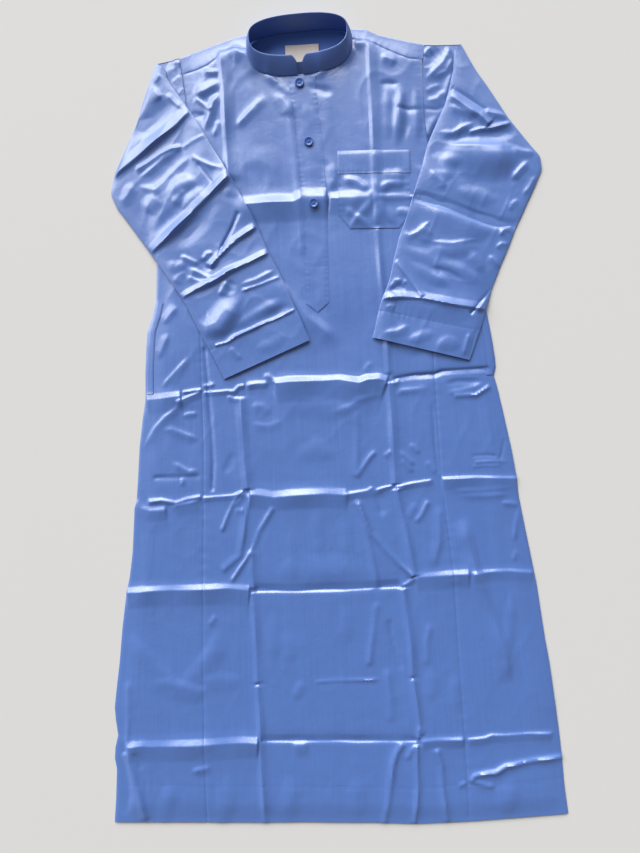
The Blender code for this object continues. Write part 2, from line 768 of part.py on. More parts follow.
def in_steps(rows, longest):
    """The rows again, with more between any two that are far apart."""
    made = [rows[0]]
    for low, high in zip(rows[:-1], rows[1:]):
        apart = max(math.dist(a, b) for a, b in zip(low, high))
        steps = max(1, math.ceil(apart / longest))
        for k in range(1, steps + 1):
            made.append([spread(a, b, (k / steps,))[0] for a, b in zip(low, high)])
    return made


def turned(x, y, centre, angle):
    dx, dy = x - centre[0], y - centre[1]
    s, c = math.sin(angle), math.cos(angle)
    return centre[0] + dx * c - dy * s, centre[1] + dx * s + dy * c


def build_chest_pocket(stack):
    """The patch pocket with cut corners, and the band over its mouth."""
    centre = ((POCKET_LEFT + POCKET_RIGHT) / 2, POCKET_TOP)
    heights = (POCKET_TOP - 2, 460, 440, 420, 408, 398, 385, POCKET_BOTTOM + POCKET_CUT_CORNER[1], POCKET_BOTTOM)
    rows = []
    for y in heights:
        corner = max(0.0, 1.0 - (y - POCKET_BOTTOM) / POCKET_CUT_CORNER[1]) * POCKET_CUT_CORNER[0]
        ends = (POCKET_LEFT + corner, y), (POCKET_RIGHT - corner, y)
        shares = [k / POCKET_COLUMNS for k in range(POCKET_COLUMNS + 1)]
        rows.append([turned(*p, centre, POCKET_TILT) for p in spread(*ends, shares)])
    cloth_grid("chest_pocket", rows, on_top(rows, stack, PATCH_WALL), stack, PATCH_WALL)
    rows = []
    for k in range(4):
        y = POCKET_TOP - POCKET_BAND * k / 3
        ends = (POCKET_LEFT - POCKET_BAND_OVERHANG, y), (POCKET_RIGHT + POCKET_BAND_OVERHANG, y)
        shares = [c / POCKET_COLUMNS for c in range(POCKET_COLUMNS + 1)]
        rows.append([turned(*p, centre, POCKET_TILT) for p in spread(*ends, shares)])
    heights = on_top(rows, stack, PATCH_WALL)
    cloth_grid("chest_pocket_band", rows, heights, stack, PATCH_WALL)


def build_side_pockets(stack):
    """The two facings that edge the side pocket openings."""
    plans = (("side_pocket_facing_left", -1, FACING_LEFT_Y), ("side_pocket_facing_right", 1, FACING_RIGHT_Y))
    for name, side, (top, bottom) in plans:
        rows = []
        for k in range(FACING_ROWS):
            y = top + (bottom - top) * k / (FACING_ROWS - 1)
            near = edge_x(y, side) - side * FACING_FROM_EDGE
            far = near - side * FACING_WIDTH
            rows.append(spread((min(near, far), y), (max(near, far), y), (0.0, 0.5, 1.0)))
        cloth_grid(name, rows, on_top(rows, stack, PATCH_WALL), stack, PATCH_WALL)


def build_label(stack):
    """The bare neck label on the inside of the back yoke."""
    rows = []
    for down in (0.5, -0.5):
        row = [(LABEL_CENTRE[0] + LABEL_SIZE[0] * s, LABEL_CENTRE[1] + LABEL_SIZE[1] * down) for s in (-0.5, 0.5)]
        rows.append([turned(*p, LABEL_CENTRE, LABEL_TILT) for p in row])
    height = CLOTH + GAP + LABEL_WALL / 2
    cloth_grid("neck_label", rows, [height] * 4, stack, LABEL_WALL, LABEL_CLOTH)


def build_button(button, stack):
    """A dished button with four holes, turned round its own axis."""
    floor = stack.top_near(button.x, button.y, BUTTON_RADIUS) + GAP
    profile = (
        (0.0, 0.0), (BUTTON_RADIUS - 0.6, 0.0), (BUTTON_RADIUS, 0.9), (BUTTON_RADIUS - 0.7, BUTTON_HEIGHT),
        (BUTTON_RADIUS - BUTTON_RIM, BUTTON_HEIGHT - BUTTON_DISH * 0.4), (4.0, BUTTON_HEIGHT - BUTTON_DISH),
        (0.0, BUTTON_HEIGHT - BUTTON_DISH),
    )
    body = bmesh.new()
    loop = [body.verts.new((r * MM, 0.0, z * MM)) for r, z in profile]
    edges = [body.edges.new(pair) for pair in zip(loop[:-1], loop[1:])]
    bmesh.ops.spin(
        body, geom=loop + edges, cent=(0, 0, 0), axis=(0, 0, 1), angle=math.tau, steps=BUTTON_SIDES,
        use_merge=True,
    )
    bmesh.ops.remove_doubles(body, verts=body.verts, dist=1e-6)
    bmesh.ops.recalc_face_normals(body, faces=body.faces)
    mesh = bpy.data.meshes.new(button.name)
    body.to_mesh(mesh)
    body.free()
    mesh.shade_smooth()
    mesh.set_sharp_from_angle(angle=math.radians(40.0))
    piece = link(button.name, mesh, BUTTON_PLASTIC)
    piece.location = (Vector((button.x, button.y, floor)) - MIDDLE) * MM
    cutter = button_holes(button, floor)
    cut = piece.modifiers.new("Holes", "BOOLEAN")
    cut.operation = "DIFFERENCE"
    cut.object = cutter


def button_holes(button, floor):
    """Four thin rods that cut the thread holes of a button."""
    rods = bmesh.new()
    for k in range(4):
        turn = math.tau * (k + 0.5) / 4
        made = bmesh.ops.create_cone(
            rods, cap_ends=True, segments=6, radius1=BUTTON_HOLE * MM, radius2=BUTTON_HOLE * MM,
            depth=4 * BUTTON_HEIGHT * MM,
        )
        way = Vector((math.cos(turn), math.sin(turn), 0.0)) * BUTTON_HOLE_OFFSET * MM
        bmesh.ops.translate(rods, verts=made["verts"], vec=way)
    mesh = bpy.data.meshes.new(button.name + "_holes")
    rods.to_mesh(mesh)
    rods.free()
    cutter = bpy.data.objects.new(button.name + "_holes", mesh)
    bpy.context.scene.collection.objects.link(cutter)
    cutter.location = (Vector((button.x, button.y, floor)) - MIDDLE) * MM
    cutter.hide_render = True
    cutter.display_type = "WIRE"
    return cutter


def draped(rows, sewn, stack):
    """Mid-heights of a layer that is laid over the stack and eased from step to step.

    A sewn row starts at the height of the front's seam.
    """
    plan = [p for row in rows for p in row]
    over = np.array([stack.top(x, y) for x, y in plan]) + CLOTH / 2
    over = over + np.where(over > CLOTH, LAID_GAP, 0.02)
    lowest = settled(rows, over, stack, CLOTH)
    lowest[sewn, 0] = np.maximum(lowest[sewn, 0], FRONT_MID)
    height = lowest.copy()
    for _ in range(DRAPE_PASSES):
        padded = np.pad(height, 1, mode="edge")
        mean = (padded[:-2, 1:-1] + padded[2:, 1:-1] + padded[1:-1, :-2] + padded[1:-1, 2:]) / 4
        height = np.maximum(lowest, mean)
    return height


def build_sleeve(name, side, stations, folds, stack):
    """A sleeve: one cloth from the armhole seam, under, round the outer fold, back over and in."""
    lower_plan = []
    for station in stations:
        inner, outer = np.array(station.inner, float), np.array(station.outer, float)
        away = (outer - inner) / np.linalg.norm(outer - inner)
        seam = inner + away * SEAM_SETBACK
        if station.seam:
            seam = (edge_x(station.seam, side) + side * ARMHOLE_GAP, station.seam)
        lower_plan.append(spread(seam, outer, [k / (SLEEVE_COLUMNS - 1) for k in range(SLEEVE_COLUMNS)]))
    sewn = [station.seam is not None for station in stations]
    lower = draped(lower_plan, sewn, stack)
    rows = []
    for r, station in enumerate(stations):
        rows.append(sleeve_row(station, lower_plan[r], lower[r], folds))
    columns = len(rows[0])
    points = [p for row in rows for p in row]
    faces = grid_faces(len(rows), columns)
    stack.add(points, faces, CLOTH / 2)
    return link(name, mesh_of(name, points, faces), SATIN, CLOTH)


def sleeve_row(station, plan, heights, folds):
    """The points round one station of a sleeve, from its armhole seam to its tucked edge."""
    inner, outer = np.array(station.inner, float), np.array(station.outer, float)
    width = np.linalg.norm(outer - inner)
    away = (outer - inner) / width
    run = [np.dot(np.array(p) - inner, away) for p in plan]

    def low_z(distance):
        return float(np.interp(distance, run, heights))

    lower = [(x, y, z) for (x, y), z in zip(plan, heights)]
    shares = [1.0 - k / (SLEEVE_COLUMNS - 1) for k in range(SLEEVE_COLUMNS)]
    upper = []
    for share in shares:
        place = inner + away * width * share
        rise = INNER_RISE + (OUTER_RISE - INNER_RISE) * share
        edge = float(smooth(min(share, 1.0 - share) * width / LOFT_FADE))
        spot = place.reshape(1, 2)
        lift = sum(float(fold_height(spot, fold)[0]) for fold in folds)
        upper.append((*place, low_z(width * share) + rise + (SLEEVE_LOFT + lift) * edge))
    tuck = min(TUCK, 0.45 * width)
    tucked = [inner + away * tuck * s for s in (0.0, 0.5, 1.0)]
    under = [(*p, low_z(tuck * s) + TUCK_RISE) for p, s in zip(tucked, (0.0, 0.5, 1.0))]
    outer_turn = turn_points(lower[-1], upper[0], away)
    inner_turn = list(reversed(turn_points(under[0], upper[-1], -away)))
    return lower + outer_turn + upper + inner_turn + under


def build_robe():
    """Every piece, from the layer on the floor up."""
    stack = Stack()
    build_back(stack)
    build_fronts(stack)
    build_yoke(stack)
    build_label(stack)
    build_placket(stack)
    build_chest_pocket(stack)
    build_side_pockets(stack)
    for button in BUTTONS:
        build_button(button, stack)
    build_collar(stack)
    build_sleeve("sleeve_left", -1, SLEEVE_LEFT, SLEEVE_LEFT_FOLDS, stack)
    build_sleeve("sleeve_right", 1, SLEEVE_RIGHT, SLEEVE_RIGHT_FOLDS, stack)


clear_scene()
build_robe()
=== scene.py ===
"""A thobe robe in blue satin, laid flat and face up with its sleeves folded over the front.

Metres in the scene, millimetres in the tables. +Y runs from the hem to the collar, +X to the
wearer's left, and +Z up from the surface that the robe lies on.
"""

from __future__ import annotations

import logging
import math
from dataclasses import dataclass
from enum import Enum
from typing import Callable, Optional, Sequence

import bmesh
import bpy
import numpy as np
from mathutils import Matrix, Vector
from mathutils.bvhtree import BVHTree

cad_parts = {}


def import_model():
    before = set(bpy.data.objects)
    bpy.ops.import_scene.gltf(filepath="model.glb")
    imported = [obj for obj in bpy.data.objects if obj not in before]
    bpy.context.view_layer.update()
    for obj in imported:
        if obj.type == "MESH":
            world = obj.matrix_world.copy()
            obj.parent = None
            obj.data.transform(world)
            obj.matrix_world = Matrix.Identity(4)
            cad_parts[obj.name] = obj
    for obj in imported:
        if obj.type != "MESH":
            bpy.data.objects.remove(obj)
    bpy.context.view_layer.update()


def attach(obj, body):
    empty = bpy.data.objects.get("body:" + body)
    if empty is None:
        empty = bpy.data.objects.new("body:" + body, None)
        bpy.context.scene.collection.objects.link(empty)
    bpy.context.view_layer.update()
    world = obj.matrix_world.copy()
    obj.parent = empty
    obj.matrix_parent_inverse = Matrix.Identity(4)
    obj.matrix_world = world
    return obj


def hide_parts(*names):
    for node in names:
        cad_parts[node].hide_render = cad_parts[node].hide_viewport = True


log = logging.getLogger("thobe")

MM = 0.001
MIDDLE = np.array((2.35, -2.05, 0.0))
SHARP = math.radians(50.0)
BODY = "root"
Path = Sequence[Sequence[float]]


def smooth(value: np.ndarray) -> np.ndarray:
    """Runs from 0 to 1 in a soft S."""
    held = np.clip(value, 0.0, 1.0)
    return held * held * (3.0 - 2.0 * held)


def track(points: np.ndarray, path: Path) -> tuple[np.ndarray, np.ndarray, np.ndarray, float]:
    """Places points against a path.

    Args:
        points: Plan points in millimetres, one row each.
        path: The corners of the path.

    Returns:
        Each point's distance from the path, its side (1 on the left of the way it runs, else
        -1), how far along the path its nearest place is, and the path's whole length.
    """
    corners = np.array(path, float)
    best = np.full(len(points), 1e9)
    side = np.ones(len(points))
    along = np.zeros(len(points))
    before = 0.0
    for start, end in zip(corners[:-1], corners[1:]):
        way = end - start
        length = float(np.linalg.norm(way))
        way = way / length
        there = points - start
        run = np.clip(there @ way, 0.0, length)
        apart = np.linalg.norm(there - run[:, None] * way, axis=1)
        nearer = apart < best
        best = np.where(nearer, apart, best)
        side = np.where(nearer, np.sign(way[0] * there[:, 1] - way[1] * there[:, 0]), side)
        along = np.where(nearer, before + run, along)
        before += length
    return best, side, along, before


def region_strength(points: np.ndarray) -> np.ndarray:
    """How rumpled the cloth is: strongly over the breast and calmer down the skirt."""
    return 0.5 + 0.5 * smooth((points[:, 1] + 150.0) / 330.0)


@dataclass(frozen=True)
class Ripple:
    """Cloth that is never quite flat: smooth noise on a fixed lattice.

    Attributes:
        seed: Chooses the lattice.
        across: Wavelength across the garment, mm.
        along: Wavelength along the garment, mm.
        turn: How far the lattice is turned, radians.
        cells: After how many cells the lattice repeats.
        shift: Keeps every place of the table on its positive side, cells.
    """

    seed: int
    across: float
    along: float
    turn: float = 0.35
    cells: int = 97
    shift: float = 400.0

    def at(self, points: np.ndarray) -> np.ndarray:
        """Noise from -1 to 1 at plan points."""
        lattice = np.random.default_rng(self.seed).uniform(-1.0, 1.0, (self.cells, self.cells))
        c, s = math.cos(self.turn), math.sin(self.turn)
        u = (points[:, 0] * c + points[:, 1] * s) / self.across + self.shift
        v = (points[:, 1] * c - points[:, 0] * s) / self.along + self.shift
        i, j = np.floor(u).astype(int), np.floor(v).astype(int)
        f, g = smooth(u - i), smooth(v - j)
        right, up, i, j = (i + 1) % self.cells, (j + 1) % self.cells, i % self.cells, j % self.cells
        low = lattice[i, j] * (1 - f) + lattice[right, j] * f
        high = lattice[i, up] * (1 - f) + lattice[right, up] * f
        return low * (1 - g) + high * g

    def ridge(self, points: np.ndarray) -> np.ndarray:
        """The noise folded into narrow crests, from 0 to 1."""
        return (1.0 - np.minimum(np.abs(self.at(points)) * 2.2, 1.0)) ** 1.5


class Fold(Enum):
    """How a fold falls away.

    The values are how much of it is crisp, how far that reaches, how much wider its far side
    is, and over what share of its length its ends run out.
    """

    PRESSED = (0.75, 1.0, 1.0, 0.0)
    CRUSHED = (0.65, 1.15, 1.7, 0.28)
    SOFT = (0.0, 1.0, 1.2, 0.34)

    def shape(self, reach: np.ndarray) -> np.ndarray:
        """The fold's height, from 1 at its top to 0, at distances in its own widths."""
        crisp, spread = self.value[:2]
        swell = 0.5 + 0.5 * np.cos(math.pi * np.clip(reach / 2.2, 0.0, 1.0))
        return crisp * (1.0 - np.clip(reach / spread, 0.0, 1.0)) ** 1.15 + (1.0 - crisp) * swell


def spaced(length: float, marks: Sequence[float], coarse: float, fine: float = 1.4,
           reach: float = 12.0) -> np.ndarray:
    """Places along a line, closer together near some marks.

    Args:
        length: The line's length, mm.
        marks: Where on it they are close together, mm.
        coarse: Their spacing elsewhere, mm.
        fine: Their spacing near a mark, mm.
        reach: How far from a mark they stay close, mm.

    Returns:
        The places, from 0 to the length.
    """
    run = np.linspace(0.0, length, int(length * 4) + 1)
    near = np.min([np.abs(run - mark) for mark in marks], axis=0) if marks else run + 1e6
    step = np.where(near < reach, fine, coarse)
    count = np.concatenate([[0.0], np.cumsum(np.diff(run) / step[1:])])
    return np.interp(np.linspace(0.0, count[-1], int(round(count[-1])) + 1), count, run)


@dataclass(frozen=True)
class Crease:
    """One fold line in the cloth.

    Attributes:
        height: How far it lifts the cloth, mm, below 0 for a groove.
        above: How wide it falls to the left of its path, mm. A path drawn towards +X has +Y
            on its left.
        below: How wide it falls to the right of its path, mm.
        fold: How sharp its top is.
        path: Its corners in plan, mm.
        fade: The length over which both its ends run out, mm.
    """

    height: float
    above: float
    below: float
    fold: Fold
    path: Path
    fade: float = 22.0

    def lift(self, points: np.ndarray) -> np.ndarray:
        """How far this fold lifts each plan point, mm."""
        out = np.zeros(len(points))
        corners = np.array(self.path, float)
        reach = 2.3 * max(self.above, self.below * self.fold.value[2])
        near = np.all((points > corners.min(0) - reach) & (points < corners.max(0) + reach), axis=1)
        if not near.any():
            return out
        apart, side, along, whole = track(points[near], self.path)
        wider, taper = self.fold.value[2:]
        run_out = max(self.fade, taper * whole)
        ends = smooth(along / run_out) * smooth((whole - along) / run_out)
        width = np.where(side > 0, self.above, self.below * wider)
        if taper:
            width = width * (0.45 + 0.55 * ends)
        shape = self.fold.shape(apart / width)
        uneven = 0.80 + 0.20 * np.sin(along / 19.0 + whole)
        out[near] = self.height * shape * uneven * ends
        return out


def corner(text: str) -> tuple[float, float]:
    """A plan point written as x,y."""
    x, y = text.split(",")
    return float(x), float(y)


def creases(table: str) -> tuple[Crease, ...]:
    """Reads folds from a table.

    Args:
        table: A row for each fold: height, above, below, the first letter of its kind, fade,
            and the corners of its path.

    Returns:
        The folds, in the table's order.
    """
    kinds = {fold.name[0]: fold for fold in Fold}
    found = []
    for row in table.strip().splitlines():
        height, above, below, kind, fade, *path = row.split()
        corners = tuple(corner(place) for place in path)
        found.append(Crease(float(height), float(above), float(below), kinds[kind], corners, float(fade)))
    return tuple(found)


@dataclass(frozen=True)
class Seam:
    """A sewn line: the cloth dips along it and puckers beside it.

    Attributes:
        path: Its corners in plan, mm.
        dip: How deep it draws the cloth down, mm.
        pucker: Height of the puckers, mm.
        pitch: Length of one pucker along the seam, mm.
        reach: How far from the seam the puckers run out, mm.
        span: How far from the seam it is worked out at all, mm.
    """

    path: Path
    dip: float = 0.7
    pucker: float = 0.3
    pitch: float = 11.0
    reach: float = 9.0
    span: float = 45.0

    def lift(self, points: np.ndarray) -> np.ndarray:
        """How far this seam lifts each plan point, mm."""
        out = np.zeros(len(points))
        corners = np.array(self.path, float)
        low, high = corners.min(0) - self.span, corners.max(0) + self.span
        near = np.all((points > low) & (points < high), axis=1)
        if not near.any():
            return out
        apart, _, along, _ = track(points[near], self.path)
        phase = 2.6 * np.sin(along / (self.pitch * 1.9)) + 1.6 * np.sin(along / (self.pitch * 0.83) + 1.0)
        wave = np.sin(along * math.tau / self.pitch + phase)
        wave *= 0.6 + 0.4 * np.sin(along / (self.pitch * 2.7))
        out[near] = -self.dip * np.exp(-apart / 2.2) + self.pucker * wave * np.exp(-apart / self.reach)
        return out


def lifted(points: np.ndarray, features: Sequence[Crease | Seam]) -> np.ndarray:
    """The summed lift of several folds and seams at plan points, mm."""
    total = np.zeros(len(points))
    for feature in features:
        total += feature.lift(points)
    return total


@dataclass(frozen=True)
class Ring:
    """A boxy oval seen from above, deeper in front of its widest place than behind it.

    Attributes:
        x: Its middle, mm.
        y: Its widest place, mm.
        half: Half its width, mm.
        front: Its depth in front of the widest place, mm.
        back: Its depth behind it, mm.
        slant: How far it rises for each millimetre across.
    """

    x: float
    y: float
    half: float
    front: float
    back: float
    slant: float

    def at(self, angle: float, power: float = 2.7) -> tuple[float, float]:
        """A point of the ring. Angle 0 is its front, and it grows towards +X."""
        s, c = math.sin(angle), math.cos(angle)
        reach = (abs(s) ** power + abs(c) ** power) ** (-1.0 / power)
        x = self.half * reach * s
        y = -(self.front if c > 0 else self.back) * reach * c
        return self.x + x, self.y + y + self.slant * x


@dataclass(frozen=True)
class Level:
    """Where the nine lines from hem to shoulder are at one height, mm."""

    name: str
    x: tuple[float, ...]
    y: tuple[float, ...]


PRESSED_LEVELS = ("lower_skirt", "knee", "thigh", "waist", "chest")
LEFT_EDGE, LEFT_SEAM, LEFT_FOLD, LEFT_NECK, CENTRE = range(5)
RIGHT_NECK, RIGHT_FOLD, RIGHT_SEAM, RIGHT_EDGE = range(5, 9)


@dataclass(frozen=True)
class Pattern:
    """The robe's outlines and lines in plan, as it lies."""

    neck: Ring = Ring(-14.5, 681.0, 92.5, 55.0, 22.0, 0.06)
    seat: Ring = Ring(-14.5, 681.0, 94.0, 56.0, 23.5, 0.06)
    rim: Ring = Ring(-17.0, 687.0, 86.0, 35.0, 27.5, 0.05)
    levels: tuple[Level, ...] = (
        Level("hem",
              (-405, -240, -139, -72, 0, 65, 130, 229, 405),
              (-694, -701, -706, -708, -712, -715, -720, -720, -714)),
        Level("lower_skirt",
              (-401, -239, -141, -72, -2, 66, 142, 226, 398),
              (-560, -557, -558, -561, -565, -569, -573, -571, -567)),
        Level("skirt",
              (-389, -235, -144, -73, -4, 64, 137, 222, 381),
              (-425,) * 9),
        Level("knee",
              (-368, -229, -146, -74, -6, 62, 138, 219, 361),
              (-285, -283, -290, -293, -295, -294, -287, -277, -281)),
        Level("thigh",
              (-345, -221, -146, -76, -9, 58, 119, 205, 338),
              (-131, -122, -114, -124, -125, -124, -116, -107, -110)),
        Level("hip",
              (-334, -217, -146, -77, -10, 56, 118, 203, 325),
              (-30,) * 9),
        Level("waist",
              (-322, -216, -147, -78, -9, 55, 116, 200, 309),
              (62, 68, 68, 80, 79, 78, 76, 82, 86)),
        Level("pocket",
              (-312, -214, -148, -80, -6, 52, 113, 200, 299),
              (175,) * 9),
        Level("pocket_top",
              (-294, -214, -149, -84, -5, 51, 111, 201, 292),
              (228,) * 9),
        Level("ribs",
              (-288, -214, -150, -88, -4, 50, 110, 203, 284),
              (290,) * 9),
        Level("chest",
              (-285, -218, -152, -95, -2, 55, 106, 208, 272),
              (400, 400, 400, 402, 403, 403, 401, 400, 400)),
        Level("underarm",
              (-284, -224, -153, -100, -5, 62, 106, 212, 268),
              (420, 456, 456, 456, 458, 456, 456, 456, 418)),
    )
    left_outline: Path = (
        (-406, -694), (-402, -655), (-398, -599), (-401, -580), (-399, -561), (-393, -539),
        (-396, -511), (-397, -489), (-393, -461), (-385, -411), (-377, -347), (-367, -285),
        (-360, -257), (-353, -213), (-346, -135), (-342, -123), (-338, -87), (-332, -23),
        (-323, 33), (-318, 57), (-316, 109), (-312, 155), (-309, 179), (-299, 206),
        (-291, 236), (-288, 290), (-285, 400), (-284, 420),
    )
    right_outline: Path = (
        (406, -714), (401, -661), (399, -611), (395, -555), (390, -505), (384, -442),
        (378, -400), (367, -300), (353, -213), (342, -143), (340, -110), (333, -60),
        (320, 13), (313, 50), (307, 74), (311, 91), (310, 109), (306, 143),
        (299, 189), (292, 228), (284, 290), (272, 400), (268, 418),
    )
    armhole_y: tuple[float, ...] = (456, 500, 545, 600, 636, 665)
    armhole_left: tuple[float, ...] = (-224, -220, -219, -223, -227, -231)
    armhole_right: tuple[float, ...] = (212, 205, 202, 201, 203, 207)
    breast_y: float = 545.0
    breast_x: tuple[float, ...] = (-219, -154, -104, -10, 70, 106, 202)
    yoke_seam_x: tuple[float, ...] = (
        -231, -200, -180, -165, -158, -135, -107, 78, 107, 120, 140, 160, 180, 207)
    yoke_seam_y: tuple[float, ...] = (
        636, 642, 650, 661, 673, 680, 675.5, 686.5, 683, 676, 665, 655, 647, 645)
    shoulder_x: tuple[float, ...] = (-233, -200, -175, -150, -130, -106, 74, 105, 125, 150, 180, 210)
    shoulder_y: tuple[float, ...] = (665, 676, 684, 692, 698, 703, 706, 703, 693, 686, 678, 671)
    back_yoke_y: float = 575.0

    def edge(self, y: np.ndarray | float, side: int) -> np.ndarray:
        """The side edge, or the armhole above it, at heights along the garment."""
        outline = self.left_outline if side < 0 else self.right_outline
        armhole = self.armhole_left if side < 0 else self.armhole_right
        heights = [p[1] for p in outline] + list(self.armhole_y)
        places = [p[0] for p in outline] + list(armhole)
        return np.interp(y, heights, places)

    def hem(self, x: np.ndarray) -> np.ndarray:
        """The hem's height at places across the garment."""
        return np.interp(x, self.levels[0].x, self.levels[0].y)

    def yoke_seam(self, x: np.ndarray | float) -> np.ndarray:
        """The front yoke seam's height at places across the garment."""
        return np.interp(x, self.yoke_seam_x, self.yoke_seam_y)

    def shoulder(self, x: np.ndarray | float) -> np.ndarray:
        """The shoulder fold's height at places across the garment."""
        return np.interp(x, self.shoulder_x, self.shoulder_y)

    def back_neck(self, x: float, allowance: float = 3.0) -> float:
        """The back neck edge's height at a place across the yoke."""
        share = min(1.0, abs((x - self.seat.x) / self.seat.half)) ** 2.7
        back = (self.seat.back + allowance) * (1.0 - share) ** (1.0 / 2.7)
        return self.seat.y + back + self.seat.slant * (x - self.seat.x)

    def line(self, number: int, first: int = 0, last: int = 12) -> list[tuple[float, float]]:
        """One line of the garment from one level up to another."""
        return [(level.x[number], level.y[number]) for level in self.levels[first:last]]


PATTERN = Pattern()

# Pressed folds across the garment, from the chest down
ACROSS = creases("""
    5.2 16 34 P 4  -132,398 -80,398 -38,398 -23,405 22,403
    3.4 14 30 P 6  22,403 60,400 103,400
    1.4 3 7 P 6  110,401 140,401 181,399
    3.2 11 26 P 4  -318,57 -287,59 -252,62
    2 5 12 P 5  -264,50 -245,58 -217,68
    1.6 4 5 P 4  -252,68 -230,71 -214,72
    2 3 8 P 4  -214,67 -195,67 -172,68 -158,67 -150,75 -138,77
    2.6 7 10 P 4  -136,76 -118,78 -96,78
    4.8 11 36 P 4  -88,77 -60,79 0,78 30,79 55,74 65,72 80,77 100,77 116,71
    -2.3 4 9 P 5  124,76 160,81 200,82 215,87 303,89
    2.2 8 20 P 5  -345,-120 -334,-134 -318,-140 -286,-139
    2.4 6 7 P 6  -322,-124 -296,-122 -270,-128 -250,-122 -222,-118
    1.7 4 10 C 5  -284,-137 -262,-132 -240,-128 -224,-124
    1.9 4 9 P 5  -224,-121 -200,-120 -168,-119 -147,-111
    4.2 13 26 P 4  -141,-118 -120,-121 -98,-126 -60,-124 0,-124 37,-127
    2.4 5 14 P 4  32,-126 48,-124 72,-121 82,-114
    1.9 3 9 P 4  86,-121 98,-117 118,-113
    2.2 4 10 P 5  120,-117 150,-112 190,-108
    2.6 5 22 P 4  204,-107 260,-107 300,-109 342,-111
    3.8 10 30 P 4  -370,-285 -330,-283 -287,-283 -235,-283 -187,-284 -144,-290
    -2.3 14 4 P 5  -139,-291 -100,-292 -60,-294 20,-295 80,-294 126,-294
    2.3 5 8 P 3  127,-294 139,-287 152,-279
    3.3 9 26 P 4  150,-279 180,-278 213,-277 248,-277
    2.4 6 18 P 5  249,-278 290,-276 320,-276 363,-281
    4 11 30 P 4  -380,-560 -350,-557 -336,-559 -240,-560 -165,-558 -140,-560
    -2.1 12 4 P 5  -139,-557 -100,-560 -60,-562 0,-564 36,-567 142,-571
    2.7 6 16 P 4  147,-572 180,-570 226,-571
    2.1 4 14 P 5  228,-572 262,-570 272,-566 300,-568 340,-567 384,-570
    3.6 5 8 P 5  231,-650 240,-637 262,-633 278,-632 295,-622 345,-614 401,-611
""")

# Pressed folds down the garment, drawn upwards, so that the first width is on the wearer's right
DOWN = creases("""
    3.2 8 20 P 16  -152,436 -153,520 -154,600 -158,682
    2.6 13 11 P 6  -141,-112 -146,-60 -146,0 -146,58
    2 12 6 P 8  -196,-256 -180,-243 -160,-228 -152,-190 -146,-150 -140,-115
    1.8 10 8 P 6  -140,-290 -139,-250 -138,-218
    2.2 8 11 P 5  -139,-458 -138,-400 -140,-340 -141,-292
    2.6 8 10 P 4  -137,-708 -137,-650 -138,-605 -137,-520 -139,-458
    2 7 15 P 14  110,346 109,496 109,560 108,615 107,690
    2.6 9 13 P 4  120,-113 120,-40 119,30 118,72
    2 8 9 P 8  118,82 117,140 114,231 112,289 111,350
    3 10 9 P 4  150,-278 141,-225 132,-175 122,-118
    2.6 8 10 P 4  138,-458 137,-400 133,-347 128,-296
    2.6 8 7 P 4  142,-568 146,-540 143,-500 138,-458
    2.8 8 6 P 4  130,-720 135,-690 139,-650 140,-600 140,-576
""")

# Loose folds of the lap, between the pressed lines
LAP = creases("""
    1.9 4 5 P 8  -180,-275 -150,-235 -137,-215 -125,-185 -97,-142
    1.7 4 5 P 6  -192,-183 -180,-155 -170,-135 -160,-119 -150,-113
    1.4 4 4 C 4  -169,-141 -156,-126 -147,-113
    1 3 4 C 3  -166,-142 -157,-146 -148,-145
    1.9 12 5 P 8  83,-300 78,-255 70,-205 62,-165 52,-133
    -1.3 5 6 C 6  96,-172 92,-150 86,-122
    2.3 5 6 P 5  148,-279 125,-256 100,-228 75,-197 54,-140
    1.9 6 7 P 7  153,-182 166,-168 180,-142
    1 5 5 S 7  138,-176 148,-160 158,-146
    1.7 14 9 P 20  182,-266 196,-215 198,-150
    4 26 13 P 40  310,-478 304,-425 292,-380 275,-325 258,-275 250,-232 236,-176
    1.2 4 4 C 6  327,-228 333,-195 341,-160
    1.4 3 4 C 5  306,-152 325,-154 343,-157
    1 3 4 C 4  324,-259 328,-248 333,-237
    0.8 4 4 C 10  215,-128 270,-129 335,-126
    0.8 4 4 C 10  225,-138 280,-139 330,-137
    1.1 7 6 S 14  312,-430 311,-395 318,-350 320,-310
    1.5 6 8 P 12  60,-436 67,-392 75,-350 80,-318
    -1.4 7 5 P 12  122,-446 112,-415 104,-378 101,-350
    1.2 8 9 P 14  164,-440 165,-395 174,-360
    1 16 12 S 30  -110,-258 -40,-258 80,-262
    0.7 7 7 S 14  -70,-284 -70,-240 -66,-176
    0.7 8 8 S 14  -108,-426 -110,-370 -106,-326
    0.6 7 8 S 12  -80,-430 -84,-360
    0.6 8 8 S 12  20,-400 24,-350 20,-320
    0.7 8 8 S 12  30,-250 27,-200 32,-150
    0.7 9 9 S 14  -20,-240 -24,-190 -18,-150
    1.2 4 4 C 5  -224,-349 -216,-342 -209,-330
    1.2 9 12 S 24  -372,-352 -340,-395 -300,-438 -268,-460
    1.4 9 12 S 30  -282,-462 -246,-430 -216,-394 -204,-350
    1.4 8 12 S 30  -336,-446 -296,-452 -252,-464 -222,-468
    1 8 10 S 30  -244,-450 -205,-446 -160,-449
    1.1 3 4 P 14  -40,-458 0,-456 82,-458
    0.8 5 6 S 8  -76,-492 -66,-470 -58,-452
    1.4 10 10 P 16  94,-540 97,-490 92,-436
    0.9 8 8 S 14  168,-505 170,-440
    0.8 7 7 S 14  214,-530 212,-450
    1 10 10 S 20  385,-560 378,-500 366,-430
    1.5 8 7 P 16  -378,-560 -372,-510 -370,-440
""")

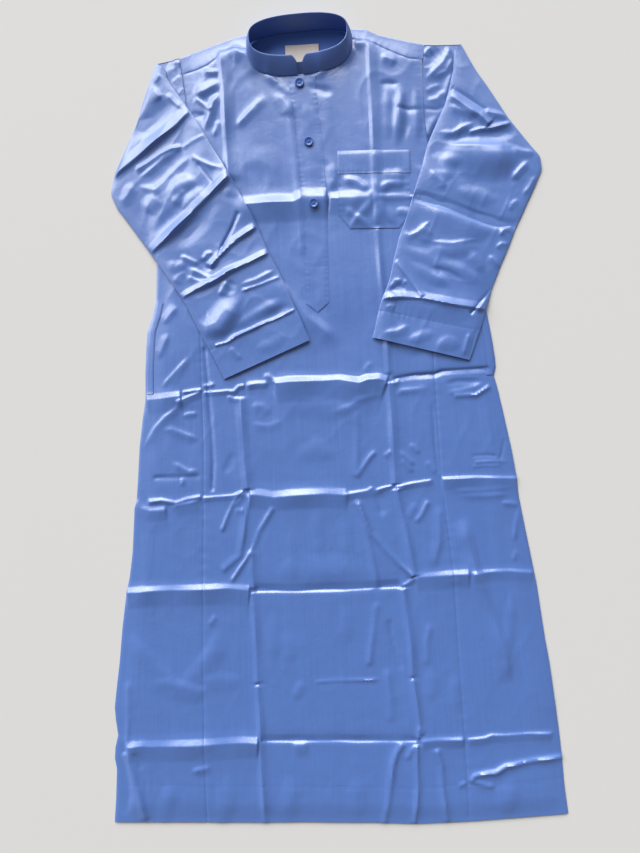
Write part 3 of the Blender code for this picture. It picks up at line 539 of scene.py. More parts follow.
# Loose folds at the hem
HEM = creases("""
    2.9 9 6 P 6  76,-719 85,-680 92,-640 97,-610 104,-590 116,-573
    1.8 4 4 C 4  119,-606 127,-590 137,-577
    2.8 8 6 P 6  190,-721 186,-690 183,-650 183,-615 175,-584
    1.4 4 4 C 4  152,-563 147,-553 143,-544
    3 14 8 P 8  -349,-695 -358,-650 -366,-612 -384,-568
    -3.2 10 10 S 16  -386,-690 -389,-640 -392,-590 -388,-545
    -1.3 4 4 C 6  -352,-605 -358,-585 -368,-566
    1.6 4 5 C 5  -266,-608 -245,-603 -227,-600
    1.6 4 10 S 6  -84,-568 -67,-570 -51,-566
    1.1 10 8 S 26  -322,-716 -312,-668 -296,-622
    1.8 4 4 C 5  231,-650 246,-650 262,-655 279,-658
    1.6 3 3 C 3  210,-657 218,-651 227,-650
    1 12 9 S 34  -98,-722 -92,-676 -86,-618
    1.1 12 9 S 34  -222,-722 -206,-672 -196,-612
    1 12 9 S 34  20,-722 28,-680 30,-625
    1.2 13 9 S 30  286,-724 298,-690 306,-640
""")

# Loose folds of the breast and of the belly
BREAST = creases("""
    2.6 14 24 P 40  -95,262 -60,240 -20,190 40,140
    2.3 7 13 P 22  -138,535 -110,562 -79,593
    4 12 10 C 8  -152,671 -130,674 -113,664 -98,648 -80,630
    2 4 4 C 7  -82,632 -58,612 -46,598 -38,587
    1.6 7 7 S 12  -62,602 -49,577 -39,560 -35,546
    2 4 5 C 5  9,617 18,625 29,632
    2.2 5 6 C 8  51,643 68,655 80,676
    -1.9 5 6 C 7  -9,606 12,602 28,597 41,586
    2.2 5 6 C 5  80,681 92,679 107,684
    1.1 12 3 P 20  -25,300 -25,400 -28,450 -31,500 -34,545 -38,590
    1.6 8 6 S 12  32,412 33,440 34,470
    0.7 14 14 S 30  -128,470 -85,478 -40,474
    3.2 13 6 C 8  -210,599 -190,602 -172,612 -158,622
    2.2 4 6 P 6  -206,593 -193,581 -176,567
    2.8 8 6 C 8  -194,530 -181,558 -172,584 -160,602
    1.8 4 5 C 6  -192,641 -176,637 -160,638
    -1.6 5 5 C 8  -216,566 -200,562 -184,560
    1.6 5 4 C 8  -177,520 -170,535 -164,552
    -2 10 14 S 24  -142,440 -142,520 -140,600 -136,650
    2.8 6 8 S 12  150,488 153,530 157,562 160,606
    -1.8 5 5 S 12  165,500 167,540 170,590
    1.8 5 6 S 14  186,492 188,540 188,604
    1.3 5 6 S 16  134,496 136,540 134,600
    -1.6 3 4 C 6  150,561 175,557 202,556
    1.8 7 6 C 8  128,655 142,648 158,641
    -1.6 4 5 C 6  122,604 138,606 158,603
    1.8 4 4 C 3  101,414 107,402 112,394
    1.6 4 4 C 4  144,370 153,375 172,370
    1.8 4 5 C 8  60,346 84,378 106,401
    1.6 4 5 C 8  142,350 122,376 109,400
    1.6 4 4 C 8  54,388 72,368 96,350
    1.7 4 4 C 8  50,438 75,431 99,411
    1.6 4 4 C 6  113,412 132,424 166,425
    1.5 6 6 S 8  118,444 138,436 166,440
    1.6 4 4 C 4  -107,92 -98,92 -88,85 -86,73
    1.3 3 4 C 4  -172,60 -157,53 -147,57
    1.3 3 3 C 3  -215,79 -203,79 -190,82
    1.4 3 5 C 6  -290,78 -262,106 -234,133
    1.4 4 6 C 8  -325,-30 -302,6 -283,25 -265,38 -254,52
    1.1 3 4 C 5  -255,26 -240,30 -224,30
    1.2 5 6 C 8  -292,4 -272,3 -250,-7 -222,-18
    1.3 4 5 C 6  -276,-54 -256,-66 -245,-73 -225,-71
    1 3 3 C 4  -262,-98 -256,-90 -260,-82
    -1 5 5 S 8  -186,-82 -172,-62 -165,-40
    1 8 8 C 8  -131,38 -110,38 -92,22
    0.8 10 12 S 24  -75,32 -30,34 60,28
    1 5 6 C 9  -132,11 -116,4 -98,2 -70,11
    -1 4 4 C 6  212,62 240,68 292,66
    1.2 4 5 C 6  216,47 245,50 272,56 292,64
    2.1 4 5 P 5  232,41 262,42 272,41 301,58
    1.2 5 5 C 7  126,44 140,54 168,55 192,60
    1.3 3 3 C 3  123,73 130,68 136,76
    1 6 7 C 10  8,20 45,30 62,42 108,52
    1.1 9 8 P 12  52,-100 56,-40 58,25
    1.6 6 5 P 8  52,-98 66,-78 76,-64 90,-50
    1 4 4 C 4  102,-62 110,-56 117,-50
    1.3 4 4 C 5  148,-40 158,-48 169,-59
    1.2 4 4 C 5  129,-50 145,-66 160,-81
    1.1 4 4 C 5  132,-64 145,-80 156,-92
    1.3 4 4 C 5  178,-70 188,-84 199,-98
    1 4 5 C 5  72,92 82,102 88,110
    1.2 6 8 S 14  132,170 150,140 186,122
    0.8 10 10 S 20  -60,-60 -20,-40 24,-58
    1.2 7 7 C 10  -250,222 -266,208 -282,190
    1.4 6 6 C 10  -270,176 -282,150 -292,128
""")

# Edges of the pocket bags and of the seam allowances, which press through the cloth
BAGS = creases("""
    -2 5 5 P 8  -206,-113 -202,-60 -202,0 -204,60 -208,150
    -1.3 3 7 P 8  -312,-80 -260,-81 -223,-81
    -1.2 3 4 P 6  310,-77 316,-58 320,-38
    0.9 3 3 P 6  262,-80 290,-79 326,-81
    -0.8 3 3 P 6  257,-68 285,-67 306,-70
    0.8 3 3 P 6  258,-87 285,-86 311,-87
    -1.1 4 4 P 10  200,-100 195,-40 194,30
""")


@dataclass(frozen=True)
class FrontForm:
    """The top of the front cloth over the table.

    Attributes:
        edge_top: Its height at its edges, mm.
        loft: How far it stands off the back between them, mm.
        fade: The width over which it comes down to an edge, mm.
        roll: How far it turns down at a side edge, mm.
        strength: How strongly its folds stand.
    """

    edge_top: float = 2.7
    loft: float = 3.0
    fade: float = 38.0
    roll: float = 1.5
    strength: float = 1.85

    def seams(self) -> list[Seam]:
        """The sewn lines that draw the front down."""
        hem_left = ((-400, -628), (-350, -630), (-261, -635), (-230, -638), (-139, -641))
        hem_middle = ((-139, -641), (-77, -644), (0, -649), (62, -652), (130, -656))
        hem_right = ((130, -656), (181, -657), (228, -652), (281, -657), (400, -652))
        yoke = list(zip(PATTERN.yoke_seam_x, PATTERN.yoke_seam_y))
        return [
            Seam(PATTERN.line(LEFT_SEAM), 0.9, 0.2, 23.0, 7.0),
            Seam(PATTERN.line(RIGHT_SEAM), 0.9, 0.2, 21.0, 7.0),
            Seam(list(zip(PATTERN.armhole_left, PATTERN.armhole_y)), 0.8, 0.28, 17.0, 7.0),
            Seam(list(zip(PATTERN.armhole_right, PATTERN.armhole_y)), 0.8, 0.3, 14.0, 7.0),
            Seam(yoke[:7], 0.7, 0.22, 15.0, 6.0),
            Seam(yoke[7:], 0.7, 0.25, 13.0, 6.0),
            Seam(hem_left, 0.4, 0.25, 15.0, 10.0),
            Seam(hem_middle, 0.4, 0.2, 14.0, 9.0),
            Seam(hem_right, 0.4, 0.25, 16.0, 10.0),
        ]

    def height(self, points: np.ndarray) -> np.ndarray:
        """The height of the cloth's upper face at plan points, mm."""
        x, y = points[:, 0], points[:, 1]
        left, right = x - PATTERN.edge(y, -1), PATTERN.edge(y, 1) - x
        below, above = y - PATTERN.hem(x), PATTERN.shoulder(x) - y
        inside = smooth(left / self.fade) * smooth(right / self.fade)
        inside *= smooth(below / self.fade) * smooth(above / self.fade)
        wander = np.stack([Ripple(3, 70, 90).at(points), Ripple(4, 80, 60).at(points)], axis=1)
        bent = points + 1.0 * wander
        folds = self.strength * lifted(bent, ACROSS + DOWN + LAP + HEM + BREAST + BAGS)
        uneven = 0.6 * Ripple(11, 52, 66).at(points) + 1.4 * Ripple(12, 120, 96, 0.9).at(points)
        uneven += 0.5 * Ripple(15, 48, 62, -0.6).ridge(bent) + 0.75 * Ripple(16, 21, 210, 0.02).at(points)
        uneven = uneven * region_strength(points) + 0.12 * Ripple(13, 15, 19, 1.2).at(points)
        lift = self.loft * inside + folds * (0.6 + 0.4 * inside) + uneven * (0.25 + 0.75 * inside)
        lift += lifted(points, self.seams())
        top = self.edge_top + np.maximum(lift, -0.4)
        rolled = np.exp(-np.maximum(np.minimum(left, right), 0.0) / 2.4)
        return top - self.roll * rolled * (y < 440.0)


@dataclass
class LayMap:
    """The highest surface laid so far, on a grid over the table.

    Attributes:
        step: The grid's spacing, mm.
        half_x: Half its width, mm.
        half_y: Half its length, mm.
        top: The heights, one row for each place along the garment, mm.
    """

    step: float = 2.0
    half_x: float = 440.0
    half_y: float = 744.0
    top: Optional[np.ndarray] = None

    def points(self) -> np.ndarray:
        """The plan points of the whole grid."""
        xs = np.arange(-self.half_x, self.half_x + 1, self.step)
        ys = np.arange(-self.half_y, self.half_y + 1, self.step)
        gx, gy = np.meshgrid(xs, ys)
        return np.stack([gx.ravel(), gy.ravel()], axis=1)

    def lay(self, height: Callable[[np.ndarray], np.ndarray], covers: np.ndarray) -> None:
        """Raises the map to a layer where it covers the grid.

        Args:
            height: Gives the layer's upper face at plan points.
            covers: True at each grid point that the layer covers.
        """
        points = self.points()
        columns = int(round(2 * self.half_x / self.step)) + 1
        if self.top is None:
            self.top = np.zeros(len(points)).reshape(-1, columns)
        flat = self.top.ravel()
        flat[covers] = np.maximum(flat[covers], height(points[covers]))
        self.top = flat.reshape(-1, columns)

    def at(self, points: np.ndarray) -> np.ndarray:
        """The map's height at plan points, mm."""
        u = np.clip((points[:, 0] + self.half_x) / self.step, 0, self.top.shape[1] - 1.001)
        v = np.clip((points[:, 1] + self.half_y) / self.step, 0, self.top.shape[0] - 1.001)
        i, j = u.astype(int), v.astype(int)
        f, g = u - i, v - j
        low = self.top[j, i] * (1 - f) + self.top[j, i + 1] * f
        high = self.top[j + 1, i] * (1 - f) + self.top[j + 1, i + 1] * f
        return low * (1 - g) + high * g

    def eased(self, reach: int, soft: int) -> LayMap:
        """A softer map that stays above this one, for a layer that spans its dips.

        Args:
            reach: How many grid steps the highest places spread.
            soft: How many times the result is averaged.
        """
        spread = self.top.copy()
        for _ in range(reach):
            for axis in (0, 1):
                spread = np.maximum(spread, np.maximum(np.roll(spread, 1, axis), np.roll(spread, -1, axis)))
        for _ in range(soft):
            for axis in (0, 1):
                spread = (np.roll(spread, 1, axis) + spread + np.roll(spread, -1, axis)) / 3.0
        return LayMap(self.step, self.half_x, self.half_y, spread)


def feed(tree: bpy.types.NodeTree, made: bpy.types.Node, inputs: dict) -> None:
    """Gives a node's inputs their values, or joins them to other nodes' outputs."""
    for name, value in inputs.items():
        if isinstance(value, bpy.types.NodeSocket):
            tree.links.new(value, made.inputs[name])
        else:
            made.inputs[name].default_value = value


def node(tree: bpy.types.NodeTree, kind: str, inputs: dict, **settings: object) -> bpy.types.NodeOutputs:
    """Adds one node.

    Args:
        tree: The tree it goes in.
        kind: Its type.
        inputs: A value or another node's output for each input.
        settings: Its other settings.

    Returns:
        Its outputs.
    """
    made = tree.nodes.new(kind)
    for name, value in settings.items():
        setattr(made, name, value)
    feed(tree, made, inputs)
    return made.outputs


def sum_of(tree: bpy.types.NodeTree, operation: str, *values: object) -> bpy.types.NodeSocket:
    """The result of one math node."""
    return node(tree, "ShaderNodeMath", dict(enumerate(values)), operation=operation)["Value"]


def painted(name: str) -> tuple[bpy.types.Material, bpy.types.NodeTree, bpy.types.Node]:
    """A new material, its tree and its shader."""
    made = bpy.data.materials.new(name)
    made.use_nodes = True
    return made, made.node_tree, made.node_tree.nodes["Principled BSDF"]


@dataclass(frozen=True)
class WeaveGroup:
    """The node group that every woven finish shares.

    Attributes:
        name: The group's name.
        threads: Waves of the weave to each metre of cloth.
        slubs: Yarns' own tone, to each metre across and along.
        crumples: Fine crumples to each metre.
        thread_height: How strongly the threads stand against the crumple.
    """

    name: str = "woven_face"
    threads: float = 2600.0
    slubs: tuple[float, float, float] = (420.0, 9.0, 1.0)
    crumples: float = 62.0
    thread_height: float = 0.035

    def build(self) -> bpy.types.NodeTree:
        """Makes the group with named inputs and outputs."""
        group = bpy.data.node_groups.new(self.name, "ShaderNodeTree")
        group.interface.new_socket("Vector", in_out="INPUT", socket_type="NodeSocketVector")
        for name, value in (("Threads", self.threads), ("Slub", 0.5), ("Crumple", 0.5)):
            socket = group.interface.new_socket(name, in_out="INPUT", socket_type="NodeSocketFloat")
            socket.default_value = value
        for name in ("Tone", "Height", "Polish"):
            group.interface.new_socket(name, in_out="OUTPUT", socket_type="NodeSocketFloat")
        given = node(group, "NodeGroupInput", {})
        way = given["Vector"]
        long_way = node(group, "ShaderNodeMapping", {"Vector": way, "Scale": self.slubs})["Vector"]
        slub = node(group, "ShaderNodeTexNoise", {"Vector": long_way, "Scale": 1.0, "Detail": 3.0})["Fac"]
        wave = {"Vector": way, "Scale": given["Threads"], "Distortion": 0.6}
        threads = node(group, "ShaderNodeTexWave", wave, bands_direction="DIAGONAL")["Fac"]
        noise = {"Vector": way, "Scale": self.crumples, "Detail": 4.0, "Roughness": 0.55, "Distortion": 0.8}
        crumple = node(group, "ShaderNodeTexNoise", noise)["Fac"]
        tone = sum_of(group, "MULTIPLY", slub, given["Slub"])
        fine = sum_of(group, "MULTIPLY", threads, self.thread_height)
        large = sum_of(group, "MULTIPLY", crumple, given["Crumple"])
        height = sum_of(group, "ADD", fine, large)
        node(group, "NodeGroupOutput", {"Tone": tone, "Height": height, "Polish": slub})
        return group


@dataclass(frozen=True)
class WovenFinish:
    """A woven cloth or thread finish.

    Attributes:
        name: The material's name.
        deep: Colour in the hollows of the yarn, linear RGB.
        light: Colour on the floats of the yarn, linear RGB.
        rough_low: Roughness where the floats lie flat.
        rough_high: Roughness where they don't.
        sheen: Weight of the fibre sheen.
        crumple: Strength of the fine crumple.
        slub: Strength of the yarn's own tone.
        specular: Specular level of the fibre.
        ior: Index of refraction of the fibre.
        haze: Roughness added where the cloth is seen edge on, as fibres scatter more there.
        relief: Depth of the crumple, metres.
    """

    name: str
    deep: tuple[float, float, float]
    light: tuple[float, float, float]
    rough_low: float = 0.30
    rough_high: float = 0.40
    sheen: float = 0.12
    crumple: float = 0.5
    slub: float = 0.35
    specular: float = 0.9
    ior: float = 1.7
    haze: float = 1.5
    relief: float = 0.0006

    def build(self, weave: bpy.types.NodeTree) -> bpy.types.Material:
        """Makes the material on the piece's own weave map, with the shared weave group."""
        made, tree, shader = painted(self.name)
        uv = node(tree, "ShaderNodeUVMap", {}, uv_map="weave")["UV"]
        held = {"Vector": uv, "Crumple": self.crumple, "Slub": self.slub}
        face = node(tree, "ShaderNodeGroup", held, node_tree=weave)
        tones = {"Factor": face["Tone"], "A": (*self.deep, 1.0), "B": (*self.light, 1.0)}
        colour = node(tree, "ShaderNodeMix", tones, data_type="RGBA")["Result"]
        span = {"Value": face["Polish"], "To Min": self.rough_low, "To Max": self.rough_high}
        rough = node(tree, "ShaderNodeMapRange", span)["Result"]
        edge_on = sum_of(tree, "POWER", node(tree, "ShaderNodeLayerWeight", {"Blend": 0.5})["Facing"], 2.0)
        feed(tree, shader, {
            "Base Color": colour,
            "Roughness": sum_of(tree, "MULTIPLY_ADD", edge_on, self.haze, rough),
            "Normal": node(tree, "ShaderNodeBump", {
                "Strength": 1.0, "Distance": self.relief, "Height": face["Height"]})["Normal"],
            "Sheen Weight": self.sheen,
            "Sheen Roughness": 0.4,
            "Specular IOR Level": self.specular,
            "IOR": self.ior,
        })
        return made


@dataclass(frozen=True)
class ButtonFinish:
    """Polished dyed plastic with faint swirls.

    Attributes:
        name: The material's name.
        body: Its colour, linear RGB.
        swirl: Colour of its swirls, linear RGB.
        swirls: Swirls to each metre.
        rough_low: Roughness where it is polished.
        rough_high: Roughness where it is worn.
        coat: Weight of its clear surface.
    """

    name: str = "button_plastic"
    body: tuple[float, float, float] = (0.035, 0.085, 0.30)
    swirl: tuple[float, float, float] = (0.06, 0.13, 0.40)
    swirls: float = 240.0
    rough_low: float = 0.16
    rough_high: float = 0.32
    coat: float = 0.4

    def build(self) -> bpy.types.Material:
        """Makes the material on object coordinates."""
        made, tree, shader = painted(self.name)
        place = node(tree, "ShaderNodeTexCoord", {})["Object"]
        noise = {"Vector": place, "Scale": self.swirls, "Detail": 3.0, "Distortion": 2.5}
        swirl = node(tree, "ShaderNodeTexNoise", noise)["Fac"]
        tones = {"Factor": swirl, "A": (*self.body, 1.0), "B": (*self.swirl, 1.0)}
        feed(tree, shader, {
            "Base Color": node(tree, "ShaderNodeMix", tones, data_type="RGBA")["Result"],
            "Roughness": node(tree, "ShaderNodeMapRange", {
                "Value": swirl, "To Min": self.rough_low, "To Max": self.rough_high})["Result"],
            "Coat Weight": self.coat,
        })
        return made


@dataclass(frozen=True)
class StageFinish:
    """A plain pale paint for the table.

    Attributes:
        name: The material's name.
        colour: Its colour, linear RGB.
        rough: Its roughness.
    """

    name: str = "pale_table"
    colour: tuple[float, float, float] = (0.60, 0.59, 0.57)
    rough: float = 0.85

    def build(self) -> bpy.types.Material:
        """Makes the material."""
        made, tree, shader = painted(self.name)
        feed(tree, shader, {"Base Color": (*self.colour, 1.0), "Roughness": self.rough})
        return made


@dataclass
class Workshop:
    """The materials, the lay map and the finished cloths that the pieces share."""

    satin: bpy.types.Material
    # A darker copy of the satin for the collar: painted shade.
    collar_satin: bpy.types.Material
    inner: bpy.types.Material
    label: bpy.types.Material
    thread: bpy.types.Material
    plastic: bpy.types.Material
    lay: LayMap
    cloths: list[bpy.types.Object]

    def tops(self) -> list[BVHTree]:
        """The surfaces that stitches and buttons are set on."""
        trees = []
        for cloth in self.cloths:
            mesh = cloth.data
            points = [tuple(v.co) for v in mesh.vertices]
            faces = [tuple(p.vertices) for p in mesh.polygons]
            trees.append(BVHTree.FromPolygons(points, faces))
        return trees

    def add(self, cloth: bpy.types.Object, solid: str, flat: tuple[float, float], held: str, under: str,
            area: Optional[float] = None, wall: float = 0.8, rim_only: bool = False,
            finish: Optional[bpy.types.Material] = None, slot: str = "satin") -> None:
        """Gives a sheet its wall and its finish, and keeps it to sew on.

        Args:
            cloth: The sheet.
            solid: The solid that it replaces.
            flat: Its cut size, metres; not used.
            held: How it is held; not used.
            under: What it rests on; not used.
            area: Its cut area, square metres, where the cut isn't a rectangle; not used.
            wall: Its wall, mm, or 0 where its mesh has one already.
            rim_only: Makes the turned edge alone, for a large sheet whose inside never shows.
            finish: Its material, where that isn't the blue satin.
            slot: The record's slot that it takes; not used.
        """
        if wall:
            give_wall(cloth, wall, rim_only)
        dress(cloth, finish or self.satin, (solid,))
        self.cloths.append(cloth)


def deselect() -> None:
    """Deselects everything."""
    for other in bpy.context.selected_objects:
        other.select_set(False)


def placed_object(name: str, data: bpy.types.ID) -> bpy.types.Object:
    """A new object in the scene."""
    made = bpy.data.objects.new(name, data)
    bpy.context.scene.collection.objects.link(made)
    return made


def with_height(plan: np.ndarray, height: np.ndarray) -> np.ndarray:
    """A plan grid with heights as its third coordinate."""
    return np.concatenate([plan, height.reshape(plan.shape[0], -1, 1)], axis=2)


def weave_map(mesh: bpy.types.Mesh, rows: np.ndarray) -> None:
    """Lays the weave map on a grid mesh: its true lengths across and along, in metres.

    Args:
        mesh: A mesh whose points are listed row by row.
        rows: The same points, in metres, as rows, columns and coordinates.
    """
    across = np.linalg.norm(np.diff(rows, axis=1), axis=2)
    across = np.concatenate([np.zeros((rows.shape[0], 1)), np.cumsum(across, axis=1)], axis=1)
    along = np.linalg.norm(np.diff(rows, axis=0), axis=2).mean(axis=1)
    along = np.concatenate([[0.0], np.cumsum(along)])
    u = across - across.mean(axis=1, keepdims=True)
    v = np.repeat(along[:, None], rows.shape[1], axis=1)
    flat = np.stack([u.ravel(), v.ravel()], axis=1)
    layer = mesh.uv_layers.new(name="weave")
    corners = np.zeros(len(mesh.loops), np.int32)
    mesh.loops.foreach_get("vertex_index", corners)
    layer.data.foreach_set("uv", flat[corners].ravel())


def grid_object(name: str, rows: np.ndarray, flip: bool = False, ring: bool = False) -> bpy.types.Object:
    """One cloth as a grid mesh at its place.

    Args:
        name: The piece's name.
        rows: Points in table millimetres, as rows, columns and coordinates.
        flip: Turns the faces over.
        ring: Closes each row on itself.

    Returns:
        The new object, with its weave map.
    """
    placed = (rows - MIDDLE) * MM
    count, wide = rows.shape[:2]
    index = np.arange(count * wide).reshape(count, wide)
    if ring:
        index = np.concatenate([index, index[:, :1]], axis=1)
    quads = np.stack([index[:-1, :-1], index[:-1, 1:], index[1:, 1:], index[1:, :-1]], axis=-1).reshape(-1, 4)
    if flip:
        quads = quads[:, ::-1]
    mesh = bpy.data.meshes.new(name)
    mesh.from_pydata(placed.reshape(-1, 3).tolist(), [], quads.tolist())
    mesh.update()
    weave_map(mesh, placed)
    mesh.shade_smooth()
    return placed_object(name, mesh)


def pick(piece: bpy.types.Object) -> None:
    """Selects one object alone and makes it active."""
    deselect()
    piece.select_set(True)
    bpy.context.view_layer.objects.active = piece


def give_wall(piece: bpy.types.Object, wall: float, rim_only: bool = False) -> None:
    """Gives a sheet its wall under its upper face.

    Args:
        piece: The sheet.
        wall: The wall, mm.
        rim_only: Makes the turned edge alone.
    """
    thick = piece.modifiers.new("wall", "SOLIDIFY")
    thick.thickness = wall * MM
    thick.offset = -1.0
    thick.use_rim = True
    thick.use_rim_only = rim_only
    pick(piece)
    bpy.ops.object.modifier_apply(modifier=thick.name)
    piece.data.set_sharp_from_angle(angle=SHARP)


def dress(piece: bpy.types.Object, finish: bpy.types.Material, nodes: Sequence[str]) -> None:
    """Gives a piece its finish and lets it stand for its solids.

    Args:
        piece: The piece.
        finish: Its material.
        nodes: The solids that it replaces.
    """
    piece.data.materials.clear()
    piece.data.materials.append(finish)
    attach(piece, BODY)
    if nodes:
        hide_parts(*nodes)
    log.info("%s: %d faces", piece.name, len(piece.data.polygons))


def between(start: np.ndarray, end: np.ndarray, steps: int, last: bool = True) -> np.ndarray:
    """Evenly spaced points between two, with or without the last."""
    shares = np.linspace(0.0, 1.0, steps + 1)[:, None]
    found = np.array(start, float) + (np.array(end, float) - np.array(start, float)) * shares
    return found if last else found[:-1]


@dataclass
class Body:
    """The back, the middle front, the two side fronts and the yoke.

    Attributes:
        form: The front cloth's height.
        step: Spacing of the mesh, mm.
        wall: Thickness of the satin with its turned edge, mm.
        seam_gap: Half the line between two sewn panels, mm.
    """

    form: FrontForm
    step: float = 2.6
    wall: float = 0.8
    seam_gap: float = -0.05

    def sections(self) -> list[np.ndarray]:
        """The columns' shares of the way between each pair of lines of the middle front."""
        hem = PATTERN.levels[0].x[LEFT_SEAM:RIGHT_EDGE]
        widths = [b - a for a, b in zip(hem[:-1], hem[1:])]
        marks = [[widths[0]], [0.0], [], [], [widths[4]], [0.0]]
        return [spaced(w, m, self.step + 0.5, reach=9.0) / w for w, m in zip(widths, marks)]

    def middle_row(self, corners: Path) -> np.ndarray:
        """One row of the middle front through its seven lines."""
        places = [np.array(c, float) for c in corners]
        parts = [a + (b - a) * s[:-1, None] for a, b, s in zip(places[:-1], places[1:], self.sections())]
        return np.concatenate(parts + [places[-1][None]])

    def neck_row(self) -> np.ndarray:
        """The top row of the middle front: both yoke seams and the neck curve."""
        shares = self.sections()
        around = len(shares[2]) + len(shares[3]) - 2
        curve = np.array([PATTERN.neck.at(math.pi * (k / around - 0.5)) for k in range(around + 1)])
        left = (PATTERN.armhole_left[4], -158.0, curve[0][0])
        right = (curve[-1][0], 107.0, PATTERN.armhole_right[4])
        left_x = np.concatenate([a + (b - a) * s[:-1] for a, b, s in zip(left[:-1], left[1:], shares[:2])])
        right_x = np.concatenate([a + (b - a) * s[1:] for a, b, s in zip(right[:-1], right[1:], shares[4:])])
        over_left = np.stack([left_x, PATTERN.yoke_seam(left_x)], axis=1)
        over_right = np.stack([right_x, PATTERN.yoke_seam(right_x)], axis=1)
        return np.concatenate([over_left, curve, over_right])

    def filled(self, levels: Sequence[tuple[float, bool, np.ndarray]]) -> np.ndarray:
        """The rows from the lowest to the highest level, close together at the pressed ones.

        Args:
            levels: Each level's height, whether it is pressed, and its row of points.

        Returns:
            The plan grid.
        """
        heights = np.array([level[0] for level in levels]) - levels[0][0]
        marks = [height for height, level in zip(heights, levels) if level[1]]
        stack = np.array([level[2] for level in levels])
        rows = []
        for at in spaced(float(heights[-1]), marks, self.step + 0.4):
            k = min(int(np.searchsorted(heights, at, side="right")) - 1, len(levels) - 2)
            share = (at - heights[k]) / (heights[k + 1] - heights[k])
            rows.append(stack[k] + (stack[k + 1] - stack[k]) * share)
        return np.array(rows)

    def middle_plan(self) -> np.ndarray:
        """Plan points of the middle front, from the hem to the neck."""
        levels = []
        for level in PATTERN.levels:
            points = list(zip(level.x, level.y))[LEFT_SEAM:RIGHT_EDGE]
            levels.append((level.y[CENTRE], level.name in PRESSED_LEVELS, self.middle_row(points)))
        breast = self.middle_row([(x, PATTERN.breast_y) for x in PATTERN.breast_x])
        levels += [(PATTERN.breast_y, False, breast), (PATTERN.breast_y + 130.0, False, self.neck_row())]
        plan = self.filled(levels)
        plan[:, 0, 0] += self.seam_gap
        plan[:, -1, 0] -= self.seam_gap
        return plan

    def side_plan(self, side: int) -> np.ndarray:
        """Plan points of one side front, from its edge or seam on the left to the right."""
        lines = slice(LEFT_EDGE, LEFT_SEAM + 1) if side < 0 else slice(RIGHT_SEAM, RIGHT_EDGE + 1)
        steps = round(170.0 / self.step)
        levels = []
        for level in PATTERN.levels:
            row = between(*list(zip(level.x, level.y))[lines], steps)
            levels.append((level.y[CENTRE], level.name in PRESSED_LEVELS, row))
        plan = self.filled(levels)
        outer, seam = (0, -1) if side < 0 else (-1, 0)
        true_edge = PATTERN.edge(plan[:, outer, 1], side)
        shift = true_edge - plan[:, outer, 0]
        weight = np.linspace(1.0, 0.0, steps + 1) if side < 0 else np.linspace(0.0, 1.0, steps + 1)
        plan[:, :, 0] += shift[:, None] * weight[None, :] ** 3
        plan[:, seam, 0] += side * self.seam_gap
        return plan

    def raised(self, plan: np.ndarray) -> np.ndarray:
        """A plan grid with the front cloth's height as its third coordinate."""
        return with_height(plan, self.form.height(plan.reshape(-1, 2)))

    def covers(self, points: np.ndarray) -> np.ndarray:
        """Where the front and the yoke cover the table."""
        x, y = points[:, 0], points[:, 1]
        inside = (x > PATTERN.edge(y, -1)) & (x < PATTERN.edge(y, 1))
        return inside & (y > PATTERN.hem(x)) & (y < PATTERN.shoulder(x))

    def build(self, shop: Workshop) -> None:
        """Makes every panel of the body and lays it on the map."""
        self.build_back(shop)
        self.build_fronts(shop)
        self.build_yoke(shop)
        shop.lay.lay(self.form.height, self.covers(shop.lay.points()))

    def build_fronts(self, shop: Workshop) -> None:
        """The middle front and the side fronts."""
        plans = (
            ("front_middle_cloth", self.middle_plan(), "front_middle", (0.47, 1.41), 0.585),
            ("front_side_left_cloth", self.side_plan(-1), "front_side_left", (0.18, 1.16), 0.138),
            ("front_side_right_cloth", self.side_plan(1), "front_side_right", (0.19, 1.16), 0.148),
        )
        for name, plan, solid, flat, area in plans:
            cloth = grid_object(name, self.raised(plan))
            shop.add(cloth, solid, flat, "laid", "back_cloth", area, self.wall, rim_only=True)

    def build_back(self, shop: Workshop) -> None:
        """The back panel, flat on the table, with the pressed lines of its own folding."""
        low_end, columns, hem_rows = -694.0, 110, 12.0
        rows = []
        for k, y in enumerate(np.append(np.arange(low_end, 574.0, 7.0), 574.6)):
            left, right = PATTERN.edge(y, -1) + 0.8, PATTERN.edge(y, 1) - 0.8
            xs = np.linspace(float(left), float(right), columns)
            ys = y + (PATTERN.hem(xs) - low_end) * max(0.0, 1.0 - k / hem_rows)
            rows.append(np.stack([xs, ys, np.zeros(columns)], axis=1))
        grid = np.array(rows)
        plan = grid[:, :, :2].reshape(-1, 2)
        folds = np.maximum(lifted(plan, ACROSS[2:16:3] + DOWN[3:9:2]) * 0.12, 0.0)
        low = 0.95 + folds + 0.05 * Ripple(31, 60, 70).at(plan)
        grid[:, :, 2] = low.reshape(grid.shape[:2])
        shop.add(grid_object("back_cloth", grid), "back", (0.82, 1.30), "laid", "back", 0.88)

    def build_yoke(self, shop: Workshop) -> None:
        """The yoke: its two shoulders over the front, and its back inside the neck."""
        for name, first, last, side in (("yoke_left", -230.6, -107.0, -1), ("yoke_right", 78.0, 206.6, 1)):
            cloth = grid_object(name, self.shoulder_rows(first, last, side))
            shop.add(cloth, "yoke", (0.124, 0.056), "folded", "yoke_back", wall=self.wall)
        self.build_back_yoke(shop)

